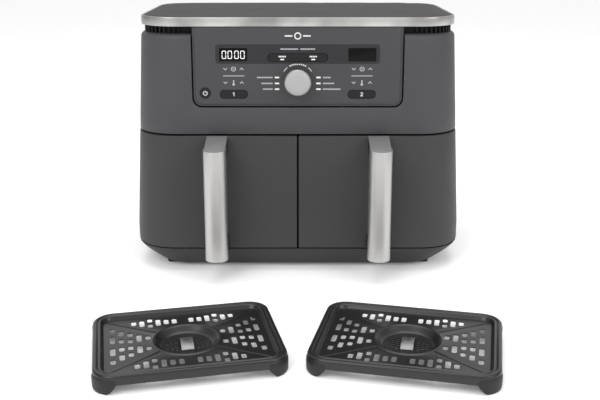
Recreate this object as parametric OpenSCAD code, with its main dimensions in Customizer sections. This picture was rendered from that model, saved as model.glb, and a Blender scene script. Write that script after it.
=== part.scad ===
// Dual-drawer air fryer with its two crisper plates laid out on the worktop in front of it.
// Origin: middle of the whole set's footprint, on the worktop. +X right, +Y towards the back, +Z up.

/* [Housing] */
// Width of the housing
body_w = 415.6; // [410:0.1:500]
// Depth of the housing, front face to back face
body_d = 265; // [255:1:320]
// Plan radius of the vertical corners
corner_r = 52; // [46:1:60]
// Wall thickness of the plastic shells
shell_wall = 2.6; // [2:0.1:3.2]
// Height of the top of the side walls above the worktop
shoulder_z = 300.6; // [290:0.1:355]
// Height of the base pan's skirt
skirt_h = 26; // [20:1:30]
// How far the skirt draws in on each side
skirt_in_side = 28; // [20:1:40]
// How far the skirt draws in at the front and back
skirt_in_front = 20; // [10:1:24]
// Height of the feet below the base pan
foot_h = 4; // [3:0.5:8]

/* [Top cover] */
// Height of the vent band between housing and top cover
vent_h = 9; // [6:0.5:14]
// How far the vent band is set in from the housing's front
vent_in = 12; // [8:0.5:14]
// How far the vent band is set in from each side of the housing
vent_side_in = 18; // [16:0.5:20]
// Thickness of the top cover and its trim ring
lid_t = 11; // [9:0.5:16]
// How far the top cover is set in from each side of the housing
lid_in = 14; // [10:0.1:15]
// How far the top cover stops short of the back of the housing
lid_back = 20; // [10:1:24]
// Thickness of the steel trim ring
trim_t = 2; // [1:0.1:3]

/* [Control panel] */
// Width of the control panel
panel_w = 260.8; // [250:0.1:270]
// Height of the control panel's bottom edge
panel_z = 211.6; // [205:0.1:215]
// Height of the centre of the dial
dial_z = 244.5; // [241:0.5:247]
// Diameter of the dial
dial_d = 33; // [27:0.5:36]
// How far the dial stands proud
dial_out = 16; // [12:0.5:20]
// Height of the middle of the displays
display_z = 276.05; // [275:0.05:278]
// Distance of each display's middle from the centre line
display_x = 77.4; // [74:0.1:80]
// Travel of the push buttons
button_travel = 0.8; // [0.5:0.1:1.2]
// Gap around a button
button_gap = 0.35; // [0.3:0.05:0.6]

/* [Drawers] */
// Height of the drawer fronts
drawer_h = 144.6; // [125:0.1:160]
// How far the drawer fronts wrap round the sides
drawer_wrap = 52; // [48:1:56]
// Gap between the two drawer fronts
drawer_split = 1.9; // [1:0.1:3]
// Gap under the drawer fronts
drawer_gap = 1.6; // [1:0.1:3]
// Gap above the drawer fronts
drawer_top_gap = 2.4; // [1.5:0.1:4]
// Distance of each basket's middle from the centre line
basket_x = 102; // [98:1:112]
// Inside width of a basket
basket_w = 150; // [120:1:152]
// Inside length of a basket, front to back
basket_l = 192; // [160:1:194]
// Inside depth of a basket
basket_depth = 110; // [90:1:112]
// Basket wall
basket_t = 1.2; // [0.8:0.1:2]

/* [Handles] */
// Distance of each handle's middle from the centre line
handle_x = 99; // [90:1:110]
// Width of a handle
handle_w = 27.8; // [23:0.1:34]
// How far a handle stands out from the drawer front
handle_out = 47; // [40:1:55]
// Height of a handle's bottom end above the worktop
handle_z = 29.5; // [28.5:0.5:34]
// Thickness of the steel facing
facing_t = 1.2; // [0.8:0.1:2]

/* [Crisper plates] */
// Length of a crisper plate
plate_l = 188; // [150:1:190]
// Width of a crisper plate
plate_w = 146; // [120:1:146]
// Height of a crisper plate on its feet
plate_h = 19; // [16:0.5:24]
// Plan radius of a plate's corners
plate_r = 22; // [16:1:26]
// Distance of each laid-out plate's middle from the centre line
plate_x = 113; // [108:1:130]
// Distance of each laid-out plate's middle in front of the drawer fronts
plate_y = 224; // [220:1:260]
// Turn of each laid-out plate
plate_turn = 12.5; // [0:0.5:20]

/* [Hidden] */
$fn = 64;
hull_fn = 32;
// Overshoot of a cut past a face
eps = 1;
// Depth of a cut that only passes through the panel
through = 9;
// Thinnest slice used to shape a sloping solid
skin = 0.01;
// Clearance between parts that lie against each other
touch = 0.3;
// Radial running clearance of shafts
run_fit = 0.05;

// Heights
skirt_top = foot_h + skirt_h;
lid_z = shoulder_z + vent_h;
drawer_z = skirt_top + drawer_gap;
drawer_top = drawer_z + drawer_h;
bay_top = drawer_top + drawer_top_gap;

// Bulkhead behind the drawer fronts and the metal liners behind it
bulk_gap = 2;
bulk_t = 3;
bulk_y = drawer_wrap + bulk_gap;
liner_y = bulk_y + bulk_t;
cover_t = 3;
basket_up = 15;
cover_y = drawer_wrap - 6.2;
basket_y = cover_y + cover_t + basket_t;
basket_mid = basket_y + basket_l / 2;
basket_z = skirt_top + basket_up;
basket_rim = basket_z + basket_depth;
basket_r = 22;
flange_w = 5;
liner_side = 1.8;
liner_half = basket_w / 2 + basket_t + flange_w + liner_side;
liner_t = 1;
liner_under = 3.8;
liner_behind = 6;
liner_over = 46;
liner_floor = basket_z - basket_t - liner_under;
liner_end = basket_y + basket_l + basket_t + liner_behind;
liner_roof = basket_rim + liner_over;
mouth_gap = 0.8;
mouth_over = 3.5;
mouth_top = basket_rim + mouth_over;
rail_t = 4;
rail_w = 5.5;

// Fan and heater
shaft_r = 3;
heater_r = 3.3;
lead_r = 2.9;
lead_x = 12;
lead_end = 8;
coil_in = 34;
coil_out = 52;
bracket_r = 66;
bracket_w = 6;
bracket_t = 2;
heater_z = basket_rim + 14;
impeller_z = basket_rim + 23;
impeller_h = 18;
impeller_r = 54;
impeller_t = 1.5;
deck_t = 2;
deck_z = liner_roof + liner_t;
motor_r = 31;
motor_h = 40;
motor_z = deck_z + deck_t;
tab_w = 8;
tab_l = 10;
tab_t = 3;
hub_r = 10;
shaft_over = 2;
shaft_hole_r = 8;
cooler_z = motor_z + motor_h + 2 * shaft_over;
cooler_h = 9;
cooler_r = 36;
cooler_blade = 12;
cooler_pitch = 25;

// Mains board on its standoffs: transformer, relay and two capacitors
power_w = 96;
power_l = 50;
power_back = 62;
standoff_in = 6;
standoff_h = 8;
standoff_r = 3;
transformer = [28, 30, 24];
relay = [20, 16, 16];
capacitor_r = 5;
capacitor_h = 22;

// Control panel
panel_set = 0.8;
panel_t = 3.2;
panel_gap = 1.5;
panel_r = 10;
panel_top = lid_z - 0.6;
panel_lap = 6;
panel_over = 30;
post_x = 100;
post_in = 8;
post_r = 3.5;
band_w = 197.6;
band_h = 23.4;
band_r = 4;
band_t = 0.7;
band_out = 0.1;
band_z = display_z + 0.85;
lens_out = 0.2;
display_w = 33.6;
display_h = 15.9;
board_y = 22;
board_t = 1.6;
board_in = 4;
switch_w = 5;
switch_gap = 0.1;
chip_x = 30;
chip_w = 32;
chip_h = 14;
chip_t = 6;
encoder_w = 14;
encoder_l = 8;
zone_z = 228.1;
zone_w = 33.6;
zone_h = 10.2;
power_x = 112;
power_z = 229.6;
power_r = 6.5;
key_w = 72;
key_h = 9.7;
key_z = 272.65;
key_lamp_x = 18.3;
key_front = 0.4;
key_rear = 5.4;
pivot_r = 1.2;
pivot_over = 4;
pivot_web = 2.2;
pivot_y = panel_set + panel_t + 3;
lug_w = 6;
lug_h = 3;
lug_l = 6;
lug_out = 3.2;
button_front = panel_set - 0.3;
button_l = 4.6;
lip_y = button_front + button_l;
lip_w = 2;
lip_t = 1.4;
stem_r = 1.6;
stem_y = board_y - 2;

// Dial
dial_gap = 0.4;
dial_hole_gap = 1;
dial_cup = 3;
dial_notches = 30;
notch_r = 1.1;
face_t = 1.4;
face_in = 1.2;
shaft_top = 4 - dial_out;
shaft_end_gap = 1.5;
collar_y = 7;
collar_r = 6;
collar_l = 4;

// Top cover and vent band
lid_r = corner_r - 2;
cover_rim = 14;
cover_sink = 0.5;
cover_skin = 3.5;
vent_t = 3;
vent_back_in = 4;
vent_edge = 2;
vent_slot_w = 7;
vent_step = 11.4;

// Back
grille_w = 140;
grille_h = 62;
grille_z = 248;
grille_screw_in = 6;
slot_w = 40;
slot_h = 4;
slot_step_x = 48;
slot_step_z = 8;
rear_screw_l = 8;
rear_head_h = 1.6;
gland_x = 150;
gland_z = 56;
gland_r = 8;
gland_lip = 3;
gland_over = 4;
gland_out = 6;
cord_r = 3.6;

// Feet and screws
foot_in = 24;
foot_x = body_w / 2 - skirt_in_side - foot_in;
foot_w = 30;
foot_d = 20;
foot_r = 6;
foot_stem_r = 3;
foot_stem_over = 1.5;
foot_front = skirt_in_front + foot_in;
foot_back = body_d - skirt_in_front - foot_in;
skirt_r_loss = 8;
screw_r = 2;
head_r = 3.6;
head_h = 2.4;
boss_r = 6;
sink_r = 4;
sink_depth = 5;
screw_x = basket_x + 50;
screw_front = liner_y + 14;
screw_back = liner_end - 12;

// Handles
arm_h = 20;
grip_r = 10;
nose_r = 12;
facing_d = 14;
cap_drop = 10.2;
cap_t = 2.6;
cap_top = drawer_top + 0.5;
cap_angle = atan(cap_drop / handle_out);
core_back = handle_out - facing_d - 2;
handle_screw_l = 12;

// Crisper plates
tray_t = 1.2;
skirt_depth = 9.5;
rim_w = 9;
tray_floor = plate_h - 4.4;
well_r = 30.5;
well_depth = 7;
hook_out = 1.2;
hook_in = 7;
hook_len = 20;
hook_top = plate_h - 4;
hole_w = 5.4;
strap_w = 13;
strap_l = 28;
strap_up = 4;

// Placement of the fryer so that the whole set is centred on the origin
plate_half_y = (plate_l / 2 - plate_r) * sin(plate_turn)
    + (plate_w / 2 - plate_r) * cos(plate_turn) + plate_r + hook_out;
plate_reach = plate_y + plate_half_y;
front_y = (plate_reach - body_d - gland_out) / 2;

SIDES = ["left", "right"];

// ---- Helpers ----

// Moves children from "front face at y = 0" to their place in the set
module in_fryer() {
    translate([0, front_y, 0]) children();
}

// Right-hand pieces are drawn; left-hand ones are their mirror image
module on_side(side) {
    if (side == "left") mirror([1, 0, 0]) children();
    else children();
}

// Rounded rectangle, centred in x, running from y = 0 to y = d
module outline(w, d, r) {
    translate([-w / 2, r]) square([w, d - 2 * r]);
    translate([r - w / 2, 0]) square([w - 2 * r, d]);
    for (x = [r - w / 2, w / 2 - r])
        for (y = [r, d - r])
            translate([x, y]) circle(r);
}

// The same outline as a block from z to z + h, its front face at y, moved by at
module slab(w, d, r, y, z, h, at = [0, 0]) {
    translate([at[0], at[1] + y, z]) linear_extrude(h) outline(w, d, r);
}

// The housing's outline, set in by a distance all round
module body_slab(inset, z, h) {
    slab(body_w - 2 * inset, body_d - 2 * inset, corner_r - inset, inset, z, h);
}

// Box given by its low corner and high corner
module block(low, high) {
    translate(low) cube(high - low);
}

// Cylinder along +Y from y to y + h
module rod_y(x, y, z, r, h) {
    translate([x, y, z]) rotate([-90, 0, 0]) cylinder(r = r, h = h);
}

// Rounded rectangle standing upright, from y to y + t, centred at x, z
module upright(x, z, w, h, r, y, t) {
    translate([x, y + t, z - h / 2]) rotate([90, 0, 0]) linear_extrude(t) outline(w, h, r);
}

// ---- Housing ----

module housing_shell() color([0.34, 0.34, 0.345]) in_fryer() difference() {
    union() {
        difference() {
            body_slab(0, skirt_top, shoulder_z - skirt_top);
            body_slab(shell_wall, skirt_top - eps, shoulder_z - shell_wall - skirt_top + eps);
            vent_slab(vent_t, shoulder_z - shell_wall - eps, shell_wall + 2 * eps);
            block([-body_w, -eps, skirt_top - eps], [body_w, bulk_y, bay_top]);
        }
        intersection() {
            body_slab(0, bay_top, shell_wall);
            block([-body_w, -eps, bay_top], [body_w, bulk_y, bay_top + shell_wall]);
        }
    }
    panel_cut = panel_w + 2 * panel_gap;
    translate([0, shell_wall + eps, panel_z - panel_gap]) rotate([90, 0, 0])
        linear_extrude(shell_wall + 2 * eps)
            outline(panel_cut, shoulder_z - panel_z + 2 * panel_over, panel_r + panel_gap);
    block([-panel_w / 2 - panel_lap, shell_wall, shoulder_z - shell_wall - eps],
        [panel_w / 2 + panel_lap, panel_set + panel_t + touch, shoulder_z + eps]);
    block([-grille_w / 2, body_d - shell_wall - eps, grille_z - grille_h / 2],
        [grille_w / 2, body_d + eps, grille_z + grille_h / 2]);
    rod_y(gland_x, body_d - shell_wall - eps, gland_z, gland_r, shell_wall + 2 * eps);
}

module base_pan() color([0.25, 0.25, 0.255]) in_fryer() difference() {
    union() {
        difference() {
            skirt_solid(0, 0);
            skirt_solid(shell_wall, shell_wall);
        }
        for (x = [-screw_x, screw_x])
            for (y = [screw_front, screw_back])
                translate([x, y, foot_h + eps]) cylinder(r = boss_r, h = liner_floor - foot_h - eps);
    }
    for (x = [-foot_x, foot_x])
        for (y = [foot_front, foot_back])
            translate([x, y, foot_h - eps]) cylinder(r = foot_stem_r, h = 2 * eps + shell_wall);
    for (x = [-screw_x, screw_x])
        for (y = [screw_front, screw_back]) {
            translate([x, y, foot_h]) cylinder(r = screw_r, h = liner_floor);
            translate([x, y, foot_h - eps]) cylinder(r = sink_r, h = sink_depth + eps);
        }
}

// Sloping skirt as a solid, set in from its outer face and up from its underside
module skirt_solid(inset, up) {
    hull() {
        translate([0, 0, skirt_top - skin]) linear_extrude(up + skin)
            translate([0, inset])
                outline(body_w - 2 * inset, body_d - 2 * inset, corner_r - inset, $fn = hull_fn);
        translate([0, 0, foot_h + up]) linear_extrude(skin)
            translate([0, skirt_in_front + inset])
                outline(body_w - 2 * (skirt_in_side + inset), body_d - 2 * (skirt_in_front + inset),
                    corner_r - inset - skirt_r_loss, $fn = hull_fn);
    }
}

module drawer_bulkhead() color([0.12, 0.12, 0.12]) in_fryer() difference() {
    intersection() {
        body_slab(shell_wall, skirt_top, bay_top - skirt_top);
        block([-body_w, bulk_y, skirt_top], [body_w, liner_y, bay_top]);
    }
    for (side = SIDES) on_side(side)
        block([basket_x - liner_half + mouth_gap, bulk_y - eps, liner_floor + liner_t],
            [basket_x + liner_half - mouth_gap, liner_y + eps, mouth_top]);
}

module motor_deck() color([0.6, 0.61, 0.62]) in_fryer() difference() {
    intersection() {
        body_slab(shell_wall, deck_z, deck_t);
        block([-body_w, liner_y, deck_z], [body_w, body_d, deck_z + deck_t]);
    }
    for (x = [-basket_x, basket_x])
        translate([x, basket_mid, deck_z - eps]) cylinder(r = shaft_hole_r, h = deck_t + 2 * eps);
}

module rear_grille() color([0.16, 0.16, 0.165]) in_fryer() difference() {
    block([-grille_w / 2, body_d - shell_wall, grille_z - grille_h / 2],
        [grille_w / 2, body_d, grille_z + grille_h / 2]);
    for (row = [-2.5 : 1 : 2.5])
        for (column = [-1 : 1]) {
            x = column * slot_step_x;
            z = grille_z + row * slot_step_z;
            block([x - slot_w / 2, body_d - shell_wall - eps, z - slot_h / 2],
                [x + slot_w / 2, body_d + eps, z + slot_h / 2]);
        }
    for (x = [-1, 1])
        for (z = [-1, 1])
            rod_y(x * (grille_w / 2 - grille_screw_in), body_d - 2 * shell_wall,
                grille_z + z * (grille_h / 2 - grille_screw_in), screw_r, 3 * shell_wall);
}

module lid_slab(inset, z, h) {
    slab(body_w - 2 * (lid_in + inset), body_d - lid_back - 2 * inset, lid_r - inset, inset, z, h);
}

module top_cover() color([0.38, 0.38, 0.385]) in_fryer() difference() {
    lid_slab(trim_t, lid_z, lid_t - cover_sink);
    lid_slab(trim_t + cover_rim, lid_z - eps, lid_t - cover_sink - cover_skin + eps);
}

module top_trim() color([0.72, 0.72, 0.73]) in_fryer() difference() {
    lid_slab(0, lid_z, lid_t);
    lid_slab(trim_t, lid_z - eps, lid_t + 2 * eps);
}

module vent_band() color([0.05, 0.05, 0.05]) in_fryer() difference() {
    vent_slab(0, shoulder_z, vent_h);
    vent_slab(vent_t, shoulder_z - eps, vent_h + 2 * eps);
    block([-panel_w / 2 - panel_lap, -eps, shoulder_z - eps],
        [panel_w / 2 + panel_lap, vent_in + vent_t + eps, lid_z + eps]);
    for (y = [corner_r + vent_slot_w : vent_step : body_d - lid_back - corner_r - vent_slot_w])
        block([-body_w, y, shoulder_z + vent_edge], [body_w, y + vent_slot_w, lid_z - vent_edge]);
}

module vent_slab(inset, z, h) {
    slab(body_w - 2 * (vent_side_in + inset), body_d - lid_back - vent_in - vent_back_in - 2 * inset,
        corner_r - vent_in - inset, vent_in + inset, z, h);
}

module feet() color([0.04, 0.04, 0.04]) in_fryer()
    for (x = [-foot_x, foot_x])
        for (y = [foot_front, foot_back]) {
            slab(foot_w, foot_d, foot_r, 0, 0, foot_h, [x, y - foot_d / 2]);
            translate([x, y, foot_h]) cylinder(r = foot_stem_r, h = shell_wall + foot_stem_over);
        }

module base_screws() color([0.62, 0.62, 0.64]) in_fryer()
    for (x = [-screw_x, screw_x])
        for (y = [screw_front, screw_back]) {
            translate([x, y, foot_h + sink_depth - head_h]) cylinder(r = head_r, h = head_h);
            translate([x, y, foot_h + sink_depth])
                cylinder(r = screw_r, h = liner_floor + liner_t - foot_h - sink_depth);
        }

module rear_screws() color([0.62, 0.62, 0.64]) in_fryer()
    for (x = [-1, 1])
        for (z = [-1, 1]) {
            sx = x * (grille_w / 2 - grille_screw_in);
            sz = grille_z + z * (grille_h / 2 - grille_screw_in);
            rod_y(sx, body_d - rear_screw_l, sz, screw_r, rear_screw_l);
            rod_y(sx, body_d, sz, head_r, rear_head_h);
        }

module cord_gland() color([0.06, 0.06, 0.06]) in_fryer() difference() {
    union() {
        rod_y(gland_x, body_d - shell_wall - gland_over, gland_z, gland_r, shell_wall + gland_over);
        rod_y(gland_x, body_d, gland_z, gland_r + gland_lip, gland_out);
    }
    rod_y(gland_x, body_d - shell_wall - gland_over - eps, gland_z, cord_r,
        shell_wall + gland_over + gland_out + 2 * eps);
}

// ---- Control panel ----

module control_panel() color([0.33, 0.33, 0.335]) in_fryer() difference() {
    union() {
        intersection() {
            upright(0, (panel_z + panel_top + panel_over) / 2, panel_w, panel_top - panel_z + panel_over,
                panel_r, panel_set, panel_t);
            block([-panel_w, -eps, panel_z - eps], [panel_w, through, panel_top]);
        }
        intersection() {
            upright(0, (panel_z + panel_top + panel_over) / 2, panel_w + 2 * panel_lap,
                panel_top - panel_z + panel_over + 2 * panel_lap, panel_r, shell_wall,
                panel_set + panel_t - shell_wall);
            block([-panel_w, -eps, panel_z - 2 * panel_lap], [panel_w, through, panel_top]);
        }
        for (x = [-post_x, post_x])
            for (z = [panel_z + post_in, shoulder_z - post_in])
                rod_y(x, panel_set + panel_t, z, post_r, board_y - panel_set - panel_t);
        for (z = [-1, 1])
            translate([0, 0, key_z + z * (key_h / 2 + lug_out)])
                block([-lug_w / 2, panel_set + panel_t - touch, -lug_h / 2],
                    [lug_w / 2, panel_set + panel_t + lug_l, lug_h / 2]);
    }
    upright(0, band_z, band_w, band_h, band_r, panel_set - eps, band_t - band_out + eps);
    for (x = [-display_x, display_x])
        block([x - display_w / 2, -eps, display_z - display_h / 2],
            [x + display_w / 2, through, display_z + display_h / 2]);
    upright(0, key_z, key_w + 2 * button_gap, key_h + 2 * button_gap, key_h / 2, 0, panel_t + eps);
    translate([0, pivot_y, key_z - key_h])
        cylinder(r = pivot_r + run_fit, h = 2 * key_h);
    rod_y(0, -eps, dial_z, shaft_r + dial_hole_gap, through);
    rod_y(-power_x, -eps, power_z, power_r + button_gap, through);
    for (x = [-display_x, display_x])
        upright(x, zone_z, zone_w + 2 * button_gap, zone_h + 2 * button_gap, zone_h / 2 + 0.2,
            0, through);
}

module display_band() color([0.22, 0.22, 0.225]) in_fryer() difference() {
    upright(0, band_z, band_w, band_h, band_r, panel_set - band_out, band_t);
    for (x = [-display_x, display_x])
        block([x - display_w / 2, -eps, display_z - display_h / 2],
            [x + display_w / 2, through, display_z + display_h / 2]);
    upright(0, key_z, key_w + 2 * button_gap, key_h + 2 * button_gap, key_h / 2, 0, panel_t + eps);
}

module display(side) color([0.02, 0.02, 0.02]) in_fryer() on_side(side)
    block([display_x - display_w / 2, panel_set - lens_out, display_z - display_h / 2],
        [display_x + display_w / 2, board_y, display_z + display_h / 2]);

module left_display() display("left");
module right_display() display("right");

module control_board() color([0.1, 0.3, 0.15]) in_fryer() {
    block([-power_x - board_in, board_y, panel_z + board_in],
        [post_x + post_r + board_in, board_y + board_t, shoulder_z - board_in]);
    for (at = [[-power_x, power_z], [-display_x, zone_z], [display_x, zone_z], [-key_lamp_x, key_z],
            [key_lamp_x, key_z]])
        translate([at[0], 0, at[1]])
            block([-switch_w / 2, stem_y + button_travel + switch_gap, -switch_w / 2],
                [switch_w / 2, board_y, switch_w / 2]);
    translate([chip_x, board_y + board_t, dial_z]) cube([chip_w, chip_t, chip_h]);
}

module dial_encoder() color([0.5, 0.5, 0.52]) in_fryer() difference() {
    block([-encoder_w / 2, board_y - encoder_l, dial_z - encoder_w / 2],
        [encoder_w / 2, board_y, dial_z + encoder_w / 2]);
    rod_y(0, board_y - encoder_l - eps, dial_z, shaft_r + run_fit, encoder_l + 2 * eps);
}

module dial_collar() color([0.85, 0.85, 0.8]) in_fryer() difference() {
    rod_y(0, collar_y, dial_z, collar_r, collar_l);
    rod_y(0, collar_y - eps, dial_z, shaft_r + run_fit, collar_l + 2 * eps);
}

module dial_shaft() color([0.75, 0.75, 0.76]) in_fryer()
    rod_y(0, shaft_top, dial_z, shaft_r, board_y - shaft_end_gap - shaft_top);

module dial_knob() color([0.55, 0.55, 0.56]) in_fryer() difference() {
    rod_y(0, face_t - dial_out, dial_z, dial_d / 2, dial_out - face_t - dial_gap);
    rod_y(0, shaft_top, dial_z, shaft_r, dial_out);
    rod_y(0, -dial_cup, dial_z, dial_d / 2 - dial_cup, dial_cup + eps);
    for (i = [1 : dial_notches])
        translate([0, 0, dial_z]) rotate([0, i * 360 / dial_notches, 0])
            rod_y(dial_d / 2 + notch_r / 2, -dial_out, 0, notch_r, dial_out + eps);
}

module dial_face() color([0.8, 0.8, 0.81]) in_fryer()
    rod_y(0, -dial_out, dial_z, dial_d / 2 - face_in, face_t);

module power_button() color([0.3, 0.3, 0.305]) in_fryer() {
    rod_y(-power_x, button_front, power_z, power_r, button_l);
    rod_y(-power_x, lip_y, power_z, power_r + lip_w, lip_t);
    rod_y(-power_x, lip_y + lip_t / 2, power_z, stem_r, stem_y - lip_y - lip_t / 2);
}

module zone_button(side) color([0.24, 0.24, 0.245]) in_fryer() on_side(side) {
    upright(display_x, zone_z, zone_w, zone_h, zone_h / 2 - skin, button_front, button_l);
    upright(display_x, zone_z, zone_w + 2 * lip_w, zone_h + 2 * lip_w, zone_h / 2 + lip_w / 2, lip_y, lip_t);
    rod_y(display_x, lip_y + lip_t / 2, zone_z, stem_r, stem_y - lip_y - lip_t / 2);
}

module left_zone_button() zone_button("left");
module right_zone_button() zone_button("right");

module mode_key() color([0.16, 0.16, 0.165]) in_fryer() {
    upright(0, key_z, key_w, key_h, key_h / 2 - skin, key_front, key_rear - key_front);
    block([-pivot_web, key_front + 2 * eps, key_z - key_h / 2 + eps / 2],
        [pivot_web, pivot_y + pivot_web, key_z + key_h / 2 - eps / 2]);
    translate([0, pivot_y, key_z - key_h / 2 - pivot_over])
        cylinder(r = pivot_r, h = key_h + 2 * pivot_over);
    for (x = [-key_lamp_x, key_lamp_x]) 
        rod_y(x, key_rear - eps / 2, key_z, stem_r, stem_y - key_rear + eps / 2);
}

module power_board() color([0.55, 0.45, 0.2]) in_fryer() {
    top = standoff_h + board_t;
    translate([0, body_d - shell_wall - power_back, motor_z]) {
        block([-power_w / 2, 0, standoff_h], [power_w / 2, power_l, top]);
        for (x = [-1, 1])
            for (y = [standoff_in, power_l - standoff_in])
                translate([x * (power_w / 2 - standoff_in), y, 0]) cylinder(r = standoff_r, h = standoff_h);
        translate([-transformer[0] - 12, 10, top]) cube(transformer);
        translate([22, 10, top]) cube(relay);
        for (x = [-2, 12]) translate([x, power_l / 2, top]) cylinder(r = capacitor_r, h = capacitor_h);
    }
}

// ---- Hot zone ----

module cavity_liner(side) color([0.55, 0.55, 0.56]) in_fryer() on_side(side)
    difference() {
        block([basket_x - liner_half - liner_t, liner_y, liner_floor],
            [basket_x + liner_half + liner_t, liner_end, liner_roof + liner_t]);
        block([basket_x - liner_half, liner_y + liner_t, liner_floor + liner_t],
            [basket_x + liner_half, liner_end - liner_t, liner_roof]);
        block([basket_x - liner_half + mouth_gap, liner_y - eps, liner_floor + liner_t],
            [basket_x + liner_half - mouth_gap, liner_y + 2 * eps, mouth_top]);
        translate([basket_x, basket_mid, liner_roof - eps]) cylinder(r = shaft_hole_r, h = 3 * eps);
        for (x = [-lead_x, lead_x])
            rod_y(basket_x + x, liner_end - liner_t - eps, heater_z, lead_r, 3 * eps);
        for (y = [screw_front, screw_back])
            translate([screw_x, y, liner_floor - eps]) cylinder(r = screw_r, h = 3 * eps);
    }

module left_cavity_liner() cavity_liner("left");
module right_cavity_liner() cavity_liner("right");

module drawer_rails() color([0.7, 0.7, 0.71]) in_fryer()
    for (side = SIDES) on_side(side)
        for (x = [basket_x - liner_half, basket_x + liner_half - rail_w])
            block([x, liner_y + liner_t, basket_rim - basket_t - touch - rail_t],
                [x + rail_w, liner_end - liner_t, basket_rim - basket_t - touch]);

// Two-turn tubular element with leads out through the back of the cavity
module heater(side) color([0.3, 0.3, 0.3]) in_fryer() on_side(side) {
    for (r = [coil_in, coil_out])
        translate([basket_x, basket_mid, heater_z]) rotate_extrude() translate([r, 0]) circle(heater_r);
    for (x = [-lead_x, lead_x])
        rod_y(basket_x + x, basket_mid + coil_out - 2, heater_z, lead_r,
            body_d - shell_wall - lead_end - basket_mid - coil_out + 2);
    for (a = [30, 150, 270])
        translate([basket_x, basket_mid, 0]) rotate([0, 0, a]) {
            block([coil_in - 2, -bracket_w / 4, heater_z - bracket_t / 2],
                [bracket_r, bracket_w / 4, heater_z + bracket_t / 2]);
            block([bracket_r - bracket_t, -bracket_w / 2, heater_z - bracket_t / 2],
                [bracket_r, bracket_w / 2, liner_roof]);
        }
}

module left_heater() heater("left");
module right_heater() heater("right");

module at_fan(side) in_fryer() on_side(side) translate([basket_x, basket_mid, 0]) children();

module motor(side) color([0.45, 0.45, 0.47]) at_fan(side) difference() {
    union() {
        translate([0, 0, motor_z]) cylinder(r = motor_r, h = motor_h);
        for (a = [45, 135, 225, 315])
            rotate([0, 0, a]) translate([motor_r - 2, -tab_w / 2, motor_z]) cube([tab_l, tab_w, tab_t]);
    }
    translate([0, 0, motor_z - eps]) cylinder(r = shaft_r + run_fit, h = motor_h + 2 * eps);
}

module left_motor() motor("left");
module right_motor() motor("right");

module impeller(side) color([0.66, 0.67, 0.68]) at_fan(side) difference() {
    union() {
        translate([0, 0, impeller_z]) cylinder(r = hub_r, h = impeller_h);
        translate([0, 0, impeller_z + impeller_h - impeller_t]) cylinder(r = impeller_r, h = impeller_t);
        for (a = [0 : 45 : 315])
            rotate([0, 0, a]) translate([hub_r - 2, -impeller_t / 2, impeller_z])
                cube([impeller_r - hub_r + 1, impeller_t, impeller_h - impeller_t / 2]);
    }
    translate([0, 0, impeller_z - eps]) cylinder(r = shaft_r, h = impeller_h + 2 * eps);
}

module left_impeller() impeller("left");
module right_impeller() impeller("right");

module fan_shaft(side) color([0.75, 0.75, 0.76]) at_fan(side)
    translate([0, 0, impeller_z - shaft_over])
        cylinder(r = shaft_r, h = cooler_z + cooler_h - impeller_z + 2 * shaft_over);

module left_fan_shaft() fan_shaft("left");
module right_fan_shaft() fan_shaft("right");

module cooling_fan(side) color([0.2, 0.2, 0.2]) at_fan(side) difference() {
    union() {
        translate([0, 0, cooler_z]) cylinder(r = hub_r - 1, h = cooler_h);
        for (a = [0 : 60 : 300])
            rotate([0, 0, a]) translate([hub_r - 3, -cooler_blade / 2, cooler_z + cooler_h / 3])
                rotate([cooler_pitch, 0, 0]) cube([cooler_r - hub_r + 3, cooler_blade, impeller_t]);
    }
    translate([0, 0, cooler_z - eps]) cylinder(r = shaft_r, h = cooler_h + 2 * eps);
}

module left_cooling_fan() cooling_fan("left");
module right_cooling_fan() cooling_fan("right");

// ---- Drawers ----

// Right drawer's share of the housing outline, set in by a distance
module drawer_zone(inset, y0, y1) {
    intersection() {
        body_slab(inset, drawer_z + inset, drawer_h - 2 * inset);
        block([drawer_split / 2 + inset, y0, drawer_z], [body_w, y1, drawer_top]);
    }
}

module drawer_front(side) color([0.33, 0.33, 0.335]) in_fryer() on_side(side) difference() {
    drawer_zone(0, 0, drawer_wrap);
    drawer_zone(shell_wall, 0, drawer_wrap + eps);
    for (z = [handle_z + arm_h / 2, drawer_top - arm_h / 2])
        rod_y(handle_x, -eps, z, screw_r, shell_wall + 2 * eps);
}

module left_drawer_front() drawer_front("left");
module right_drawer_front() drawer_front("right");

module drawer_cover(side) color([0.1, 0.1, 0.1]) in_fryer() on_side(side)
    drawer_zone(shell_wall, cover_y, cover_y + cover_t);

module left_drawer_cover() drawer_cover("left");
module right_drawer_cover() drawer_cover("right");

module basket(side) color([0.12, 0.12, 0.125]) in_fryer() on_side(side)
    translate([basket_x, 0, 0]) difference() {
        union() {
            slab(basket_w + 2 * basket_t, basket_l + 2 * basket_t, basket_r + basket_t,
                basket_y - basket_t, basket_z - basket_t, basket_depth + basket_t);
            slab(basket_w + 2 * (basket_t + flange_w), basket_l + 2 * basket_t, basket_r + basket_t,
                basket_y - basket_t, basket_rim - basket_t, basket_t);
        }
        slab(basket_w, basket_l, basket_r, basket_y, basket_z, basket_depth + eps);
    }

module left_basket() basket("left");
module right_basket() basket("right");

// ---- Handles ----

// Plan outline of a handle: rounded nose in front, square at the drawer
module handle_plan(inset) {
    w = handle_w - 2 * inset;
    r = nose_r - inset;
    translate([-w / 2, r + inset - handle_out]) square([w, handle_out - r - inset]);
    translate([r - w / 2, inset - handle_out]) square([w - 2 * r, r + eps]);
    for (x = [r - w / 2, w / 2 - r])
        translate([x, r + inset - handle_out]) circle(r);
}

// Everything below the sloping top of a handle, lowered by a distance
module under_cap(down) {
    translate([-handle_w, 0, cap_top - down]) rotate([cap_angle, 0, 0])
        translate([0, -2 * handle_out, -2 * drawer_h]) cube([2 * handle_w, 3 * handle_out, 2 * drawer_h]);
}

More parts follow.
